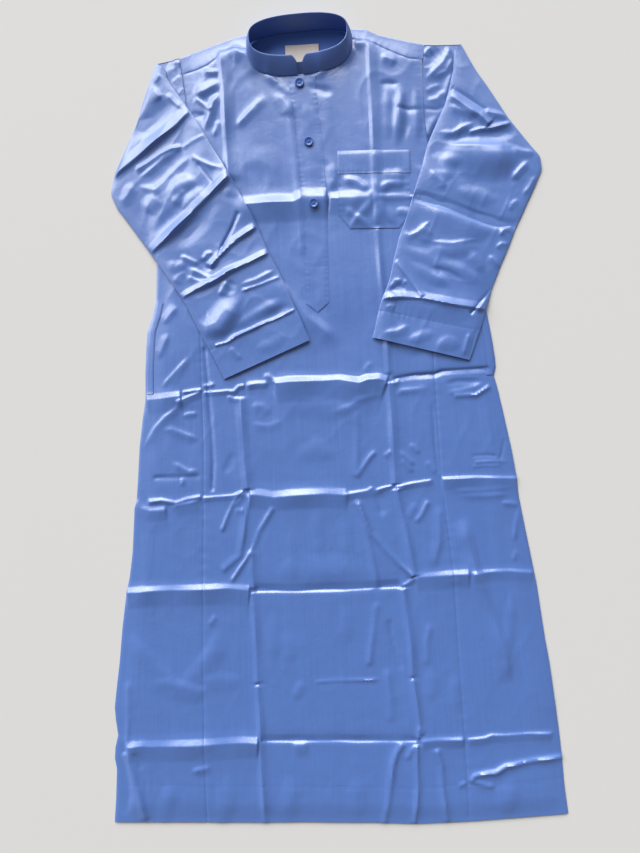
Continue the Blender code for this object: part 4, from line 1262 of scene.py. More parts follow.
    def shoulder_rows(self, first: float, last: float, side: int) -> np.ndarray:
        """One shoulder of the yoke, from under the turn to the front seam."""
        columns = np.linspace(first, last, 56)
        grid = []
        for x in columns:
            top_y, seam_y = float(PATTERN.shoulder(x)), float(PATTERN.yoke_seam(x)) + 0.45
            outer = x < PATTERN.armhole_left[4] or x > PATTERN.armhole_right[4]
            ys = np.linspace(top_y - 1.4, seam_y, 24)
            xs = np.full(24, x)
            if outer:
                xs = PATTERN.edge(ys, side)
            front = np.stack([xs, ys], axis=1)
            zs = self.form.height(front)
            under = [(x, top_y - 26.0, 1.25), (x, top_y - 12.0, 1.25), (x, top_y - 2.4, 1.2)]
            turn = [(x, top_y - 0.9, 1.35), (x, top_y - 0.2, 1.8), (x, top_y - 0.3, 2.3)]
            over = [(a, b, z) for (a, b), z in zip(front, zs)]
            grid.append(under + turn + over)
        return np.array(grid, float).transpose(1, 0, 2)[::-1]

    def build_back_yoke(self, shop: Workshop) -> None:
        """The yoke's flat back, which shows through the neck."""
        grid = []
        for x in np.linspace(-222.0, 200.0, 150):
            inside = PATTERN.seat.x - PATTERN.seat.half < x < PATTERN.seat.x + PATTERN.seat.half
            top = PATTERN.back_neck(float(x)) if inside else float(PATTERN.shoulder(x)) - 3.2
            ys = np.linspace(PATTERN.back_yoke_y, top, 34)
            grid.append(np.stack([np.full(34, x), ys, np.zeros(34)], axis=1))
        rows = np.array(grid).transpose(1, 0, 2)
        plan = rows[:, :, :2].reshape(-1, 2)
        folds = creases("""
            0.9 9 7 S 20  -80,640 -40,672 0,690
            0.7 7 7 S 16  10,690 40,680 66,660
            0.8 8 6 S 16  -96,668 -70,686 -44,696
        """)
        low = 1.0 + np.maximum(lifted(plan, folds) + 0.12 * Ripple(32, 24, 24).at(plan), -0.1)
        rows[:, :, 2] = low.reshape(rows.shape[:2])
        cloth = grid_object("yoke_back", rows)
        shop.add(cloth, "yoke", (0.44, 0.14), "laid", "back_cloth", 0.05, finish=shop.inner)


@dataclass(frozen=True)
class Station:
    """One row of a folded sleeve.

    Attributes:
        name: Where it is.
        inner: Its point on the inner fold, mm.
        outer: Its point on the outer fold, mm.
        sewn: Where along the armhole it is sewn on, mm.
    """

    name: str
    inner: tuple[float, float]
    outer: tuple[float, float]
    sewn: Optional[float] = None


def stations(table: str) -> tuple[Station, ...]:
    """Reads a sleeve's rows from a table with the columns of Station."""
    rows = [row.split() for row in table.strip().splitlines()]
    return tuple(Station(row[0], corner(row[1]), corner(row[2]), *map(float, row[3:])) for row in rows)


@dataclass
class Sleeve:
    """A sleeve folded over the front: one cloth round its two long folds.

    Attributes:
        name: The piece's name.
        solid: The solid that it replaces.
        side: -1 at the wearer's right, 1 at the left.
        stations: Its rows from the shoulder to the wrist.
        over: Folds of its upper layer.
        under: Folds of the stretch beside the armhole.
        cuff: The stitched line of its turned hem.
        step: Spacing of the mesh, mm.
        inner_rise: Height of its inner fold over what it lies on, mm.
        outer_rise: Height of its outer fold, mm.
        loft: How much further it stands off between them, mm.
        tuck: How far its cloth runs on under the inner fold, mm.
        strength: How strongly its folds stand.
        calm: What it lies on, without its small folds.
    """

    name: str
    solid: str
    side: int
    stations: tuple[Station, ...]
    over: tuple[Crease, ...]
    under: tuple[Crease, ...]
    cuff: Path
    step: float = 1.9
    inner_rise: float = 3.7
    outer_rise: float = 2.7
    loft: float = 1.7
    tuck: float = 11.0
    strength: float = 1.6
    calm: Optional[LayMap] = None

    def lines(self) -> tuple[np.ndarray, np.ndarray, np.ndarray]:
        """The inner fold, the outer fold and the lower layer's start, row by row."""
        inner = np.array([s.inner for s in self.stations], float)
        outer = np.array([s.outer for s in self.stations], float)
        away = (outer - inner) / np.linalg.norm(outer - inner, axis=1, keepdims=True)
        seam = inner + away
        for k, station in enumerate(self.stations):
            if station.sewn:
                x = float(PATTERN.edge(station.sewn, self.side))
                seam[k] = (x + self.side * 0.5, station.sewn)
        run = np.linalg.norm(np.diff((inner + outer) / 2, axis=0), axis=1)
        along = np.concatenate([[0.0], np.cumsum(run)])
        marks = [a for a, s in zip(along, self.stations) if "press" in s.name or s.name == "cuff_seam"]
        at = spaced(float(along[-1]), marks, self.step, 1.4, 11.0)
        inner, outer, seam = (
            np.stack([np.interp(at, along, line[:, i]) for i in (0, 1)], axis=1)
            for line in (inner, outer, seam))
        return self.rounded(inner), self.rounded(outer), seam

    def rounded(self, line: np.ndarray) -> np.ndarray:
        """The line with its corners eased and a slight unevenness, its ends kept."""
        eased = line.copy()
        for _ in range(5):
            eased[1:-1] = (eased[:-2] + 2 * eased[1:-1] + eased[2:]) / 4
        wobble = np.stack([Ripple(41, 24, 24).at(line), Ripple(42, 24, 24).at(line)], axis=1)
        return eased + 0.5 * wobble

    def rows(self, base: LayMap) -> np.ndarray:
        """The points round every row, from the armhole seam round both folds to the tuck."""
        inner, outer, seam = self.lines()
        width = np.linalg.norm(outer - inner, axis=1, keepdims=True)
        away = (outer - inner) / width
        lower = self.lower_layer(base, inner, outer, seam, away)
        upper = self.upper_layer(base, inner, outer, width)
        tuck = np.minimum(self.tuck, 0.45 * width)
        folded = []
        for share in np.linspace(0.0, 1.0, 5):
            place = inner + away * tuck * share
            folded.append(np.concatenate([place, (base.at(place) + 2.5)[:, None]], axis=1))
        under = np.stack(folded, axis=1)
        outer_turn = self.turn(lower[:, -1], upper[:, 0], away)
        inner_turn = self.turn(under[:, 0], upper[:, -1], -away)[:, ::-1]
        return np.concatenate([lower, outer_turn, upper, inner_turn, under], axis=1)

    def lower_layer(self, base: LayMap, inner: np.ndarray, outer: np.ndarray, seam: np.ndarray,
                    away: np.ndarray) -> np.ndarray:
        """The layer that lies on the front, with the gathers that show beside the armhole."""
        shares = np.linspace(0.0, 1.0, 50)[None, :, None]
        plan = seam[:, None, :] + (outer - seam)[:, None, :] * shares
        flat = plan.reshape(-1, 2)
        beyond = ((flat.reshape(plan.shape) - inner[:, None, :]) * away[:, None, :]).sum(axis=2)
        shows = smooth(-beyond / 6.0 + 0.5).ravel()
        height = base.at(flat) + 0.8
        from_seam = np.linalg.norm(plan - seam[:, None, :], axis=2).ravel()
        height += (np.maximum(3.4, height) - height) * np.exp(-from_seam / 22.0) * shows
        height += (lifted(flat, self.under) + 0.3 * Ripple(52, 16, 14).at(flat)) * shows
        return with_height(plan, height)

    def upper_layer(self, base: LayMap, inner: np.ndarray, outer: np.ndarray,
                    width: np.ndarray) -> np.ndarray:
        """The layer on top, from the outer fold to the inner fold."""
        count = round(float(width.max()) / self.step)
        soft = 0.5 - 0.5 * np.cos(np.linspace(0.0, math.pi, count))
        shares = 0.7 * np.linspace(0.0, 1.0, count) + 0.3 * soft
        plan = outer[:, None, :] + (inner - outer)[:, None, :] * shares[None, :, None]
        flat = plan.reshape(-1, 2)
        to_edge = (np.minimum(shares, 1.0 - shares)[None, :] * width).ravel()
        rise = self.outer_rise + (self.inner_rise - self.outer_rise) * np.tile(shares, len(inner))
        inside = 1.0 - np.exp(-to_edge / 8.0)
        wander = np.stack([Ripple(5, 60, 60).at(flat), Ripple(6, 60, 60).at(flat)], axis=1)
        folds = self.strength * lifted(flat + 1.2 * wander, self.over)
        folds += 0.7 * Ripple(61, 40, 52).at(flat) + 0.10 * Ripple(62, 12, 14).at(flat)
        folds += 0.5 * Ripple(64, 34, 44, -0.5).ridge(flat)
        seam = Seam(self.cuff, 0.45, 0.22, 11.0, 9.0).lift(flat)
        height = self.calm.at(flat) + rise + (self.loft + folds) * inside + seam
        return with_height(plan, np.maximum(height, base.at(flat) + 2.2 + 0.4 * inside))

    @staticmethod
    def turn(low: np.ndarray, high: np.ndarray, outward: np.ndarray) -> np.ndarray:
        """The half-round turn of a fold, row by row, from its lower to its upper edge."""
        radius = (high[:, 2] - low[:, 2]) / 2
        found = []
        for k in range(1, 6):
            angle = math.pi * k / 6 - math.pi / 2
            share = (math.sin(angle) + 1.0) / 2
            plan = low[:, :2] + (high[:, :2] - low[:, :2]) * share
            plan = plan + outward * (radius * math.cos(angle))[:, None]
            z = (high[:, 2] + low[:, 2]) / 2 + radius * math.sin(angle)
            found.append(np.concatenate([plan, z[:, None]], axis=1))
        return np.stack(found, axis=1)

    def build(self, shop: Workshop) -> None:
        """Makes the sleeve over what is laid."""
        self.calm = shop.lay.eased(3, 26)
        rows = self.rows(shop.lay.eased(2, 7))
        cloth = grid_object(self.name, rows, flip=self.side < 0)
        shop.add(cloth, self.solid, (0.38, 0.66), "folded", "front_middle_cloth", 0.2, 0.7, rim_only=True)


SLEEVE_RIGHT_SIDE = stations("""
    tip  -257,645  -271,658  664.5
    cap  -255,630  -288,617  640
    upper  -238,603  -313,549  608
    first_press  -216,568  -354,464  574
    elbow_top  -203,545  -363,430
    elbow  -191,525  -352,402
    below_elbow  -170,487  -326,364
    second_press  -149,450  -296,320
    forearm_top  -131,413  -282,298
    forearm  -113,376  -268,276
    forearm_low  -100,345  -256,256
    third_press  -86,310  -243,236
    wrist_top  -70,275  -228,205
    wrist  -55,240  -213,173
    cuff_seam  -41,205  -198,141
    cuff  -30,178  -186,115
    end  -20,151  -174,89
""")
SLEEVE_LEFT_SIDE = stations("""
    tip  261,657  273,669  669.5
    cap  258,622  297,622  640
    upper  250,592  325,580  606
    upper_low  240,560  352,534  572
    bicep  222,525  366,514  535
    first_press  205,488  388,485  496
    elbow_top  197,462  405,464
    elbow  190,440  408,440
    below_elbow  183,420  388,398
    second_press  176,400  357,337
    forearm_top  160,355  346,312
    forearm  147,325  335,288
    forearm_low  137,290  322,260
    wrist  128,252  309,230
    third_press  112,218  297,192
    cuff_seam  106,198  284,158
    cuff  100,176  274,132
    end  93,151  262,104
""")

OVER_RIGHT_SIDE = creases("""
    5 17 6 P 2  -360,457 -330,478 -300,500 -265,528 -240,546 -214,570
    -2.4 14 14 S 20  -330,520 -300,548 -262,576 -232,590
    1.6 12 16 S 20  -310,560 -288,590 -268,618
    2.6 6 9 P 10  -318,468 -290,483 -270,495 -250,503 -230,505
    1.5 3 8 P 4  -232,504 -213,515 -189,525
    2 5 5 C 10  -312,453 -290,468 -266,486 -236,500
    2.4 8 6 C 8  -318,442 -300,436 -284,431 -272,441 -252,459 -232,476 -214,488
    1.7 4 7 P 5  -216,488 -200,478 -180,468 -158,463
    -1.2 3 4 P 6  -206,476 -190,455 -177,436
    2 9 8 S 12  -262,425 -235,440 -205,446
    2 8 9 S 12  -238,392 -215,412 -188,432
    1.6 7 7 C 10  -255,402 -240,418 -225,430
    1.8 9 9 S 12  -308,392 -288,412 -280,425
    1.4 7 7 S 16  -345,400 -330,430 -322,450
    5.4 14 5 P 2  -300,317 -270,338 -240,365 -210,394 -175,425 -145,451
    -1.6 10 10 S 20  -290,345 -255,378 -215,412
    -1.8 9 10 S 16  -270,322 -230,350 -200,378 -170,406
    1.4 6 6 S 10  -160,412 -145,425 -130,410
    4.6 11 3 P 5  -192,286 -175,305 -150,327 -130,341 -103,358
    -1.7 3 4 P 5  -178,300 -172,318 -150,355 -136,386
    -1.3 3 3 P 5  -172,320 -155,346 -132,384
    2.2 4 4 C 5  -244,313 -226,304 -208,294
    1.8 4 4 C 5  -204,300 -196,312 -184,312
    1.9 4 5 C 6  -232,292 -212,280 -192,268 -176,268
    1.6 4 5 C 6  -236,276 -212,264 -190,260
    -1.6 4 4 C 5  -206,306 -200,290 -188,282
    1.4 6 6 S 8  -270,300 -250,292 -230,300
    1.4 6 6 C 6  -258,262 -246,276 -232,284
    4.8 10 4 P 2  -245,234 -215,249 -190,260 -172,270 -160,278 -125,292 -83,311
    2 4 6 C 6  -177,236 -171,248 -164,264
    -1.4 5 6 S 8  -160,236 -158,250 -154,266
    1.8 4 4 C 8  -142,254 -110,263 -74,280
    1.9 4 3 P 8  -138,243 -100,254 -64,267
    4.6 17 9 S 14  -228,184 -200,178 -178,182 -162,200 -148,220 -134,240
    2 8 8 S 20  -152,172 -100,205 -58,228
    -1.8 7 5 S 8  -178,160 -146,174 -100,194 -44,217
    2.7 4 3 P 3  -188,148 -165,153 -148,164 -120,175 -100,184 -80,190 -39,208
    1.3 5 5 C 8  -163,146 -152,132 -140,121
    1 7 7 S 14  -120,138 -90,146 -60,162
    2.2 5 6 C 7  -284,614 -274,606 -264,592
    1.8 3 4 C 4  -281,626 -272,631 -266,640
    1.6 4 5 C 8  -226,572 -244,588 -258,604
""")
UNDER_RIGHT_SIDE = creases("""
    1.8 5 7 C 8  -262,640 -248,646 -234,650
    1.6 4 5 C 5  -246,656 -236,658 -226,656
    1.6 4 6 C 6  -246,622 -236,630 -228,634
    1.4 4 5 C 6  -236,600 -230,608 -224,612
""")
OVER_LEFT_SIDE = creases("""
    4.4 12 8 P 3  247,579 280,553 301,538 317,521
    -1.5 7 4 P 5  250,593 282,571 315,545
    1.8 8 5 C 5  243,561 270,549 300,538
    2.4 5 5 C 6  300,548 335,540 360,535
    2.8 5 6 P 5  280,509 300,514 322,516 345,521 358,526
    1.9 5 5 C 8  224,514 252,509 270,519 292,528
    -2.2 8 8 S 12  224,497 300,504 352,507 372,518
    6 15 20 S 18  225,476 300,470 340,466 384,466
    1.2 4 4 C 14  240,490 300,484 360,482
    1.6 5 6 C 8  352,478 376,472 400,470
    2.2 6 6 C 8  352,420 368,438 387,457
    2.4 5 5 C 8  372,392 386,408 400,430
    2.2 9 9 S 12  236,420 236,450 243,478
    1.5 6 6 C 8  205,446 226,422 232,404
    1.5 8 8 S 14  206,470 230,462 270,458
    1.6 8 8 S 14  250,410 290,398 330,386
    -4.2 15 9 P 2  175,400 200,391 225,382 263,367 300,352 337,340 360,337
    2.4 7 15 S 14  188,380 250,358 330,327
    2 4 4 C 4  326,320 335,334 355,339
    1.8 4 5 C 5  318,300 330,308 346,306
    1.6 5 5 C 5  346,366 352,378 366,386
    1.9 5 5 C 6  148,340 165,329 180,335 204,355
    1.6 7 7 S 8  186,312 192,330 198,346
    1.8 8 9 S 14  145,312 200,287 255,262 298,236
    -1.5 5 5 C 10  198,272 232,262 262,244
    1.6 8 8 S 14  190,302 240,300 290,306
    1.4 4 4 C 12  200,318 240,312 288,318
    1.6 6 7 S 12  160,284 200,258 238,236
    1.4 6 6 S 10  270,300 284,278 296,256
    1.6 5 5 C 6  304,290 322,272 330,262
    2.4 4 5 P 5  184,217 160,254 137,287
    2.2 4 4 C 4  124,236 136,250 152,252
    -2.4 6 6 C 6  122,230 140,240 160,242
    1.6 4 5 C 3  148,238 154,248 158,252
    5 13 5 P 2  111,219 145,220 180,216 215,208 250,201 299,192
    2.2 5 13 S 12  120,212 180,208 240,196 290,184
    -2.2 4 4 P 3  267,184 286,206 311,232
    1.8 4 4 C 4  276,186 292,204 306,216
    1.4 5 5 C 4  116,202 126,206 136,202
    1.5 6 6 C 8  110,158 135,160 160,170
    1.4 6 6 S 10  150,140 180,150 206,156
    1.2 7 7 S 10  200,130 226,136 250,128
    1.5 5 4 C 4  250,108 258,130 267,155
    -1 3 3 P 4  262,106 270,130 277,155
""")
UNDER_LEFT_SIDE = creases("""
    4 6 9 C 5  206,606 222,622 240,640 250,655 260,667
    2 4 5 C 6  222,612 245,622 260,648
    2.4 4 6 C 4  205,650 212,660 222,668
    -2.4 6 6 S 5  216,645 230,655 240,660
    2 4 4 C 3  243,664 250,660 262,668
    2.6 5 6 C 8  238,570 246,594 256,622
    2.2 5 6 C 8  206,570 226,574 244,590
    -2 4 5 P 3  203,557 225,555 243,561
    3.2 8 9 S 8  208,492 214,520 228,546
    1.6 4 4 C 6  205,586 218,594 236,600
    1.8 4 5 C 5  204,628 216,630 230,640
""")


@dataclass
class Patches:
    """The placket, the chest pocket with its band, and the side pocket facings.

    Attributes:
        placket_y: Heights down the placket, mm.
        placket_left: Its left edge at each, mm.
        placket_right: Its right edge at each, mm.
        tip: The placket's point, mm.
        thick: How far a folded patch stands off its cloth, mm.
        pocket_left: The chest pocket's left edge, mm.
        pocket_right: Its right edge, mm.
        pocket_top: Its top edge, mm.
        pocket_bottom: Its bottom edge, mm.
        pocket_corner: How far its lower corners are cut, across and up, mm.
        band: Height of the band over its mouth, mm.
        pocket_tilt: How far the pocket is turned, radians.
    """

    placket_y: tuple[float, ...] = (621, 600, 545, 480, 410, 403, 396, 340, 283, 240, 217)
    placket_left: tuple[float, ...] = (-37, -36, -30, -27, -24, -24, -24, -23, -23, -23, -23)
    placket_right: tuple[float, ...] = (10, 11, 15, 19, 21, 21, 21, 20, 19, 18, 18)
    tip: tuple[float, float] = (-3.0, 200.0)
    thick: float = 1.0
    pocket_left: float = 45.0
    pocket_right: float = 173.0
    pocket_top: float = 485.0
    pocket_bottom: float = 346.0
    pocket_corner: tuple[float, float] = (20.0, 24.0)
    band: float = 41.0
    pocket_tilt: float = math.radians(-1.5)

    def placket_plan(self) -> np.ndarray:
        """Plan points of the placket, from the neck to its point."""
        ys = np.arange(self.placket_y[0], self.placket_y[-1], -2.2)
        left = np.interp(ys, self.placket_y[::-1], self.placket_left[::-1])
        right = np.interp(ys, self.placket_y[::-1], self.placket_right[::-1])
        ends = [((a, y), (b, y)) for a, b, y in zip(left, right, ys)]
        low = ((self.placket_left[-1], self.placket_y[-1]), (self.placket_right[-1], self.placket_y[-1]))
        for share in np.linspace(0.0, 0.97, 9):
            ends.append(tuple(tuple(np.array(p) + (np.array(self.tip) - np.array(p)) * share) for p in low))
        return np.array([between(a, b, 20) for a, b in ends])

    def pocket_plan(self) -> np.ndarray:
        """Plan points of the chest pocket, from under its band to its cut corners."""
        ys = np.arange(self.pocket_top - 6.0, self.pocket_bottom - 0.1, -2.2)
        rows = []
        for y in np.append(ys, self.pocket_bottom):
            corner = max(0.0, 1.0 - (y - self.pocket_bottom) / self.pocket_corner[1]) * self.pocket_corner[0]
            rows.append(between((self.pocket_left + corner, y), (self.pocket_right - corner, y), 56))
        return self.tilted(np.array(rows))

    def band_plan(self) -> np.ndarray:
        """Plan points of the band over the pocket's mouth."""
        ys = np.linspace(self.pocket_top, self.pocket_top - self.band, 20)
        rows = [between((self.pocket_left - 1.0, y), (self.pocket_right + 1.0, y), 58) for y in ys]
        return self.tilted(np.array(rows))

    def tilted(self, plan: np.ndarray) -> np.ndarray:
        """A plan turned by the pocket's tilt round the middle of its top."""
        middle = np.array(((self.pocket_left + self.pocket_right) / 2, self.pocket_top))
        c, s = math.cos(self.pocket_tilt), math.sin(self.pocket_tilt)
        off = plan - middle
        x = off[..., 0] * c - off[..., 1] * s
        y = off[..., 0] * s + off[..., 1] * c
        return np.stack([x, y], axis=-1) + middle

    def on_map(self, plan: np.ndarray, lay: LayMap, thick: float,
               seams: Sequence[Crease | Seam]) -> np.ndarray:
        """A patch laid on the map, its edges rounded down.

        Args:
            plan: The patch's plan grid.
            lay: What it lies on.
            thick: How far it stands off, mm.
            seams: Its own folds and sewn lines.

        Returns:
            The patch's upper face, mm.
        """
        flat = plan.reshape(-1, 2)
        wide = np.linalg.norm(plan[:, -1] - plan[:, 0], axis=1)[:, None]
        shares = np.linspace(0.0, 1.0, plan.shape[1])[None, :]
        to_edge = np.minimum(np.minimum(shares, 1 - shares) * wide, 30.0).ravel()
        height = lay.eased(1, 1).at(flat) + thick + lifted(flat, seams)
        height += 0.18 * Ripple(71, 20, 26).at(flat) * smooth(to_edge / 6.0)
        return with_height(plan, height - 0.35 * np.exp(-to_edge / 1.2))

    def build(self, shop: Workshop) -> None:
        """Makes each patch and raises the map to it."""
        cross = [(-22.0, 283.0), (19.0, 283.0)]
        self.patch("placket", self.placket_plan(), (0.046, 0.42), 0.85, shop, [
            Seam(self.placket_edge(-1), 0.35, 0.16, 9.0, 5.0),
            Seam(self.placket_edge(1), 0.35, 0.16, 9.5, 5.0),
            Seam(cross, 0.35, 0.1, 8.0, 4.0),
            *creases("""
                0.8 10 8 S 8  -20,560 0,556 12,562
                0.7 10 10 S 8  -22,460 0,452 18,456
            """),
        ])
        left, right, low = self.pocket_left, self.pocket_right, self.pocket_top - self.band
        sides = [self.tilted(np.array([(x, 372.0), (x, low)])) for x in (left + 2.5, right - 2.5)]
        self.patch("chest_pocket", self.pocket_plan(), (0.13, 0.14), 0.97, shop, [
            *(Seam(line, 0.3, 0.2, 9.0, 6.0) for line in sides),
            *creases("""
                1.0 9 8 S 16  60,425 100,418 150,424
                0.9 8 8 S 16  70,378 110,370 150,376
                0.8 5 6 C 10  108,350 109,395 108,440
            """),
        ])
        mouth = self.tilted(np.array([(left, low + 3.0), (right, low + 3.0)]))
        self.patch("chest_pocket_band", self.band_plan(), (0.13, 0.042), 1.0, shop, [
            Seam(mouth, 0.35, 0.2, 8.0, 5.0),
            *creases("""
                0.9 9 9 S 16  50,476 110,472 168,476
                0.8 5 6 C 6  108,446 109,466 108,484
            """),
        ])
        self.build_facing("left", -1, 229.0, 66.0, shop)
        self.build_facing("right", 1, 206.0, 74.0, shop)

    def placket_edge(self, side: int, inset: float = 2.2) -> list[tuple[float, float]]:
        """The stitched line inside one long edge of the placket."""
        edge = self.placket_left if side < 0 else self.placket_right
        return [(x - side * inset, y) for x, y in zip(edge, self.placket_y)]

    def patch(self, solid: str, plan: np.ndarray, flat: tuple[float, float], share: float,
              shop: Workshop, seams: Sequence[Crease | Seam]) -> None:
        """Makes one patch on the map.

        Args:
            solid: The solid that it replaces.
            plan: Its plan grid.
            flat: Its cut size, metres.
            share: How much of that rectangle the cut fills.
            shop: The materials and the map.
            seams: Its own folds and sewn lines.
        """
        cloth = grid_object(solid + "_cloth", self.on_map(plan, shop.lay, self.thick, seams), flip=True)
        shop.add(cloth, solid, flat, "laid", "front_middle_cloth", flat[0] * flat[1] * share)
        points = shop.lay.points()
        first, last = plan[:, 0], plan[:, -1]
        up_left, up_right = np.argsort(first[:, 1]), np.argsort(last[:, 1])
        left = np.interp(points[:, 1], first[up_left, 1], first[up_left, 0])
        right = np.interp(points[:, 1], last[up_right, 1], last[up_right, 0])
        low, high = plan[..., 1].min(), plan[..., 1].max()
        covers = (points[:, 0] > left) & (points[:, 0] < right) & (points[:, 1] > low) & (points[:, 1] < high)
        before = LayMap(shop.lay.step, shop.lay.half_x, shop.lay.half_y, shop.lay.top.copy())
        shop.lay.lay(lambda p: before.at(p) + self.thick, covers)

    def build_facing(self, hand: str, side: int, top: float, low: float, shop: Workshop) -> None:
        """The facing of one side pocket's mouth, along the side edge.

        Args:
            hand: The side's name.
            side: -1 at the left edge, 1 at the right.
            top: Its upper end, mm.
            low: Its lower end, mm.
            shop: The materials and the map.
        """
        ys = np.arange(top, low, -2.4)
        near = PATTERN.edge(ys, side) - side * 3.2
        far = near - side * 11.5
        first, last = np.minimum(near, far), np.maximum(near, far)
        plan = np.array([between((a, y), (b, y), 7) for a, b, y in zip(first, last, ys)])
        solid = "side_pocket_facing_" + hand
        cloth = grid_object(solid + "_cloth", self.on_map(plan, shop.lay, 0.9, ()), flip=True)
        shop.add(cloth, solid, (0.0118, (top - low) * MM), "laid", f"front_side_{hand}_cloth", wall=0.7)


@dataclass
class Collar:
    """The standing band collar, its under end and the bare label inside the neck.

    Attributes:
        wall: Thickness of the band, mm.
        open_gap: Width of the gap between its two ends, mm.
        corner: How far along the rim each end is rounded off, mm.
        drop: How far it is cut down there, as a share of the band's height.
        front_z: Height of the rim in front, mm.
        back_z: Height of the rim behind, mm.
        bulge: How far the band stands out between its edges, mm.
    """

    wall: float = 1.7
    open_gap: float = 10.5
    corner: float = 11.0
    drop: float = 0.34
    front_z: float = 25.0
    back_z: float = 39.0
    bulge: float = 2.0

    def ends(self, angle: float, seat_z: float) -> tuple[np.ndarray, np.ndarray]:
        """The seam point and the rim point at one place round the neck."""
        rim_z = self.front_z + (self.back_z - self.front_z) * (1.0 - math.cos(angle)) / 2
        low = np.array((*PATTERN.seat.at(angle), seat_z))
        high = np.array((*PATTERN.rim.at(angle), rim_z))
        return low, high

    def point(self, angle: float, seat_z: float, share: float, off: float = 0.0) -> np.ndarray:
        """A point up the band, which bulges a little, moved off its middle by a distance."""
        low, high = self.ends(angle, seat_z)
        out = np.array((math.sin(angle), -math.cos(angle), 0.0))
        slope = high - low
        face = out * slope[2] - np.array((0.0, 0.0, 1.0)) * float(slope @ out)
        face = face / np.linalg.norm(face)
        bow = self.bulge * 4 * share * (1.0 - share)
        sway = 0.5 * math.sin(3 * angle + 0.6) * math.sin(math.pi * share)
        return low + slope * share + face * (0.8 * bow + sway + off)

    def seat_height(self, lay: LayMap, angle: float) -> float:
        """How high the band's lower edge sits at one place."""
        place = np.array([PATTERN.seat.at(angle)])
        back = smooth(np.array([(math.pi / 2 - abs(angle - math.pi)) * 1.2]))[0]
        front = float(lay.at(place)[0]) + 0.3
        return front * (1.0 - back) + 1.5 * back

    def profile(self, angle: float, seat_z: float, top: float) -> list[np.ndarray]:
        """The closed section of the band at one place, up outside and down inside."""
        half = self.wall / 2
        outside = [self.point(angle, seat_z, top * k / 12, half) for k in range(12)]
        inside = [self.point(angle, seat_z, top * k / 12, -half) for k in range(11, -1, -1)]
        rim = []
        for turn in (0.12, 0.3, 0.5, 0.7, 0.88):
            swing = math.pi * turn
            share = top - 0.026 + 0.026 * math.sin(swing)
            rim.append(self.point(angle, seat_z, share, half * math.cos(swing)))
        return outside + rim + inside

    def angles(self) -> np.ndarray:
        """Places round the neck, close together at the two ends."""
        first = self.open_gap / 2 / PATTERN.neck.half
        near = first + np.linspace(0.0, 16.0, 17) / PATTERN.neck.half
        middle = np.linspace(near[-1], math.tau - near[-1], 170)[1:-1]
        return np.concatenate([near, middle, (math.tau - near)[::-1]])

    def build(self, shop: Workshop) -> None:
        """Makes the band, the under end and the label."""
        self.build_band(shop)
        self.build_tab(shop)
        self.build_label(shop)

    def build_band(self, shop: Workshop) -> None:
        """The band itself, a closed ring of cloth with two rounded ends."""
        around = self.angles()
        sections = []
        for angle in around:
            from_end = (min(angle, math.tau - angle) - around[0]) * PATTERN.neck.half
            cut = self.drop * max(0.0, 1.0 - from_end / self.corner) ** 2
            sections.append(self.profile(angle, self.seat_height(shop.lay, angle), 1.0 - cut))
        rows = np.array(sections)
        band = grid_object("collar_band", rows, ring=True)
        self.close_ends(band, len(rows), rows.shape[1])
        shop.add(band, "collar", (0.46, 0.041), "folded", "yoke_back", wall=0, finish=shop.collar_satin)

    @staticmethod
    def close_ends(band: bpy.types.Object, count: int, around: int) -> None:
        """Closes the two open ends of the band with a face each."""
        shape = bmesh.new()
        shape.from_mesh(band.data)
        shape.verts.ensure_lookup_table()
        shape.faces.new([shape.verts[k] for k in range(around)])
        last = (count - 1) * around
        shape.faces.new([shape.verts[last + k] for k in reversed(range(around))])
        bmesh.ops.recalc_face_normals(shape, faces=shape.faces)
        shape.to_mesh(band.data)
        shape.free()

    def build_tab(self, shop: Workshop) -> None:
        """The under end of the band, seen in the gap."""
        seat_z = self.seat_height(shop.lay, 0.0)
        places = np.linspace(-13.0, 13.0, 12) / PATTERN.neck.half
        rows = [[self.point(a, seat_z, share, -2.4) for a in places] for share in np.linspace(0.02, 0.62, 14)]
        tab = grid_object("collar_under_end", np.array(rows))
        shop.add(tab, "collar_tab", (0.026, 0.022), "folded", "collar_band", wall=0.9,
                 finish=shop.collar_satin)

    def build_label(self, shop: Workshop) -> None:
        """The bare label, flat on the yoke, its edges folded under."""
        left, right, low, high = -41.0, 19.0, 647.0, 681.0
        lean, top = 0.014, 2.75
        rows = []
        for y in np.linspace(high, low, 20):
            row = []
            for x in np.linspace(left, right, 34):
                curl = 0.35 * math.exp(-min(x - left, right - x, high - y, y - low) / 1.2)
                wave = 0.25 * math.sin(x / 11.0) + 0.15 * math.sin(y / 7.0 + 1.0)
                over, up = y - (low + high) / 2, x - (left + right) / 2
                row.append((x + lean * over, y + lean * up, top - curl + wave))
            rows.append(row)
        label = grid_object("bare_label", np.array(rows), flip=True)
        shop.add(label, "neck_label", (0.06, 0.034), "laid", "yoke_back", wall=0.7, finish=shop.label,
                 slot="label")


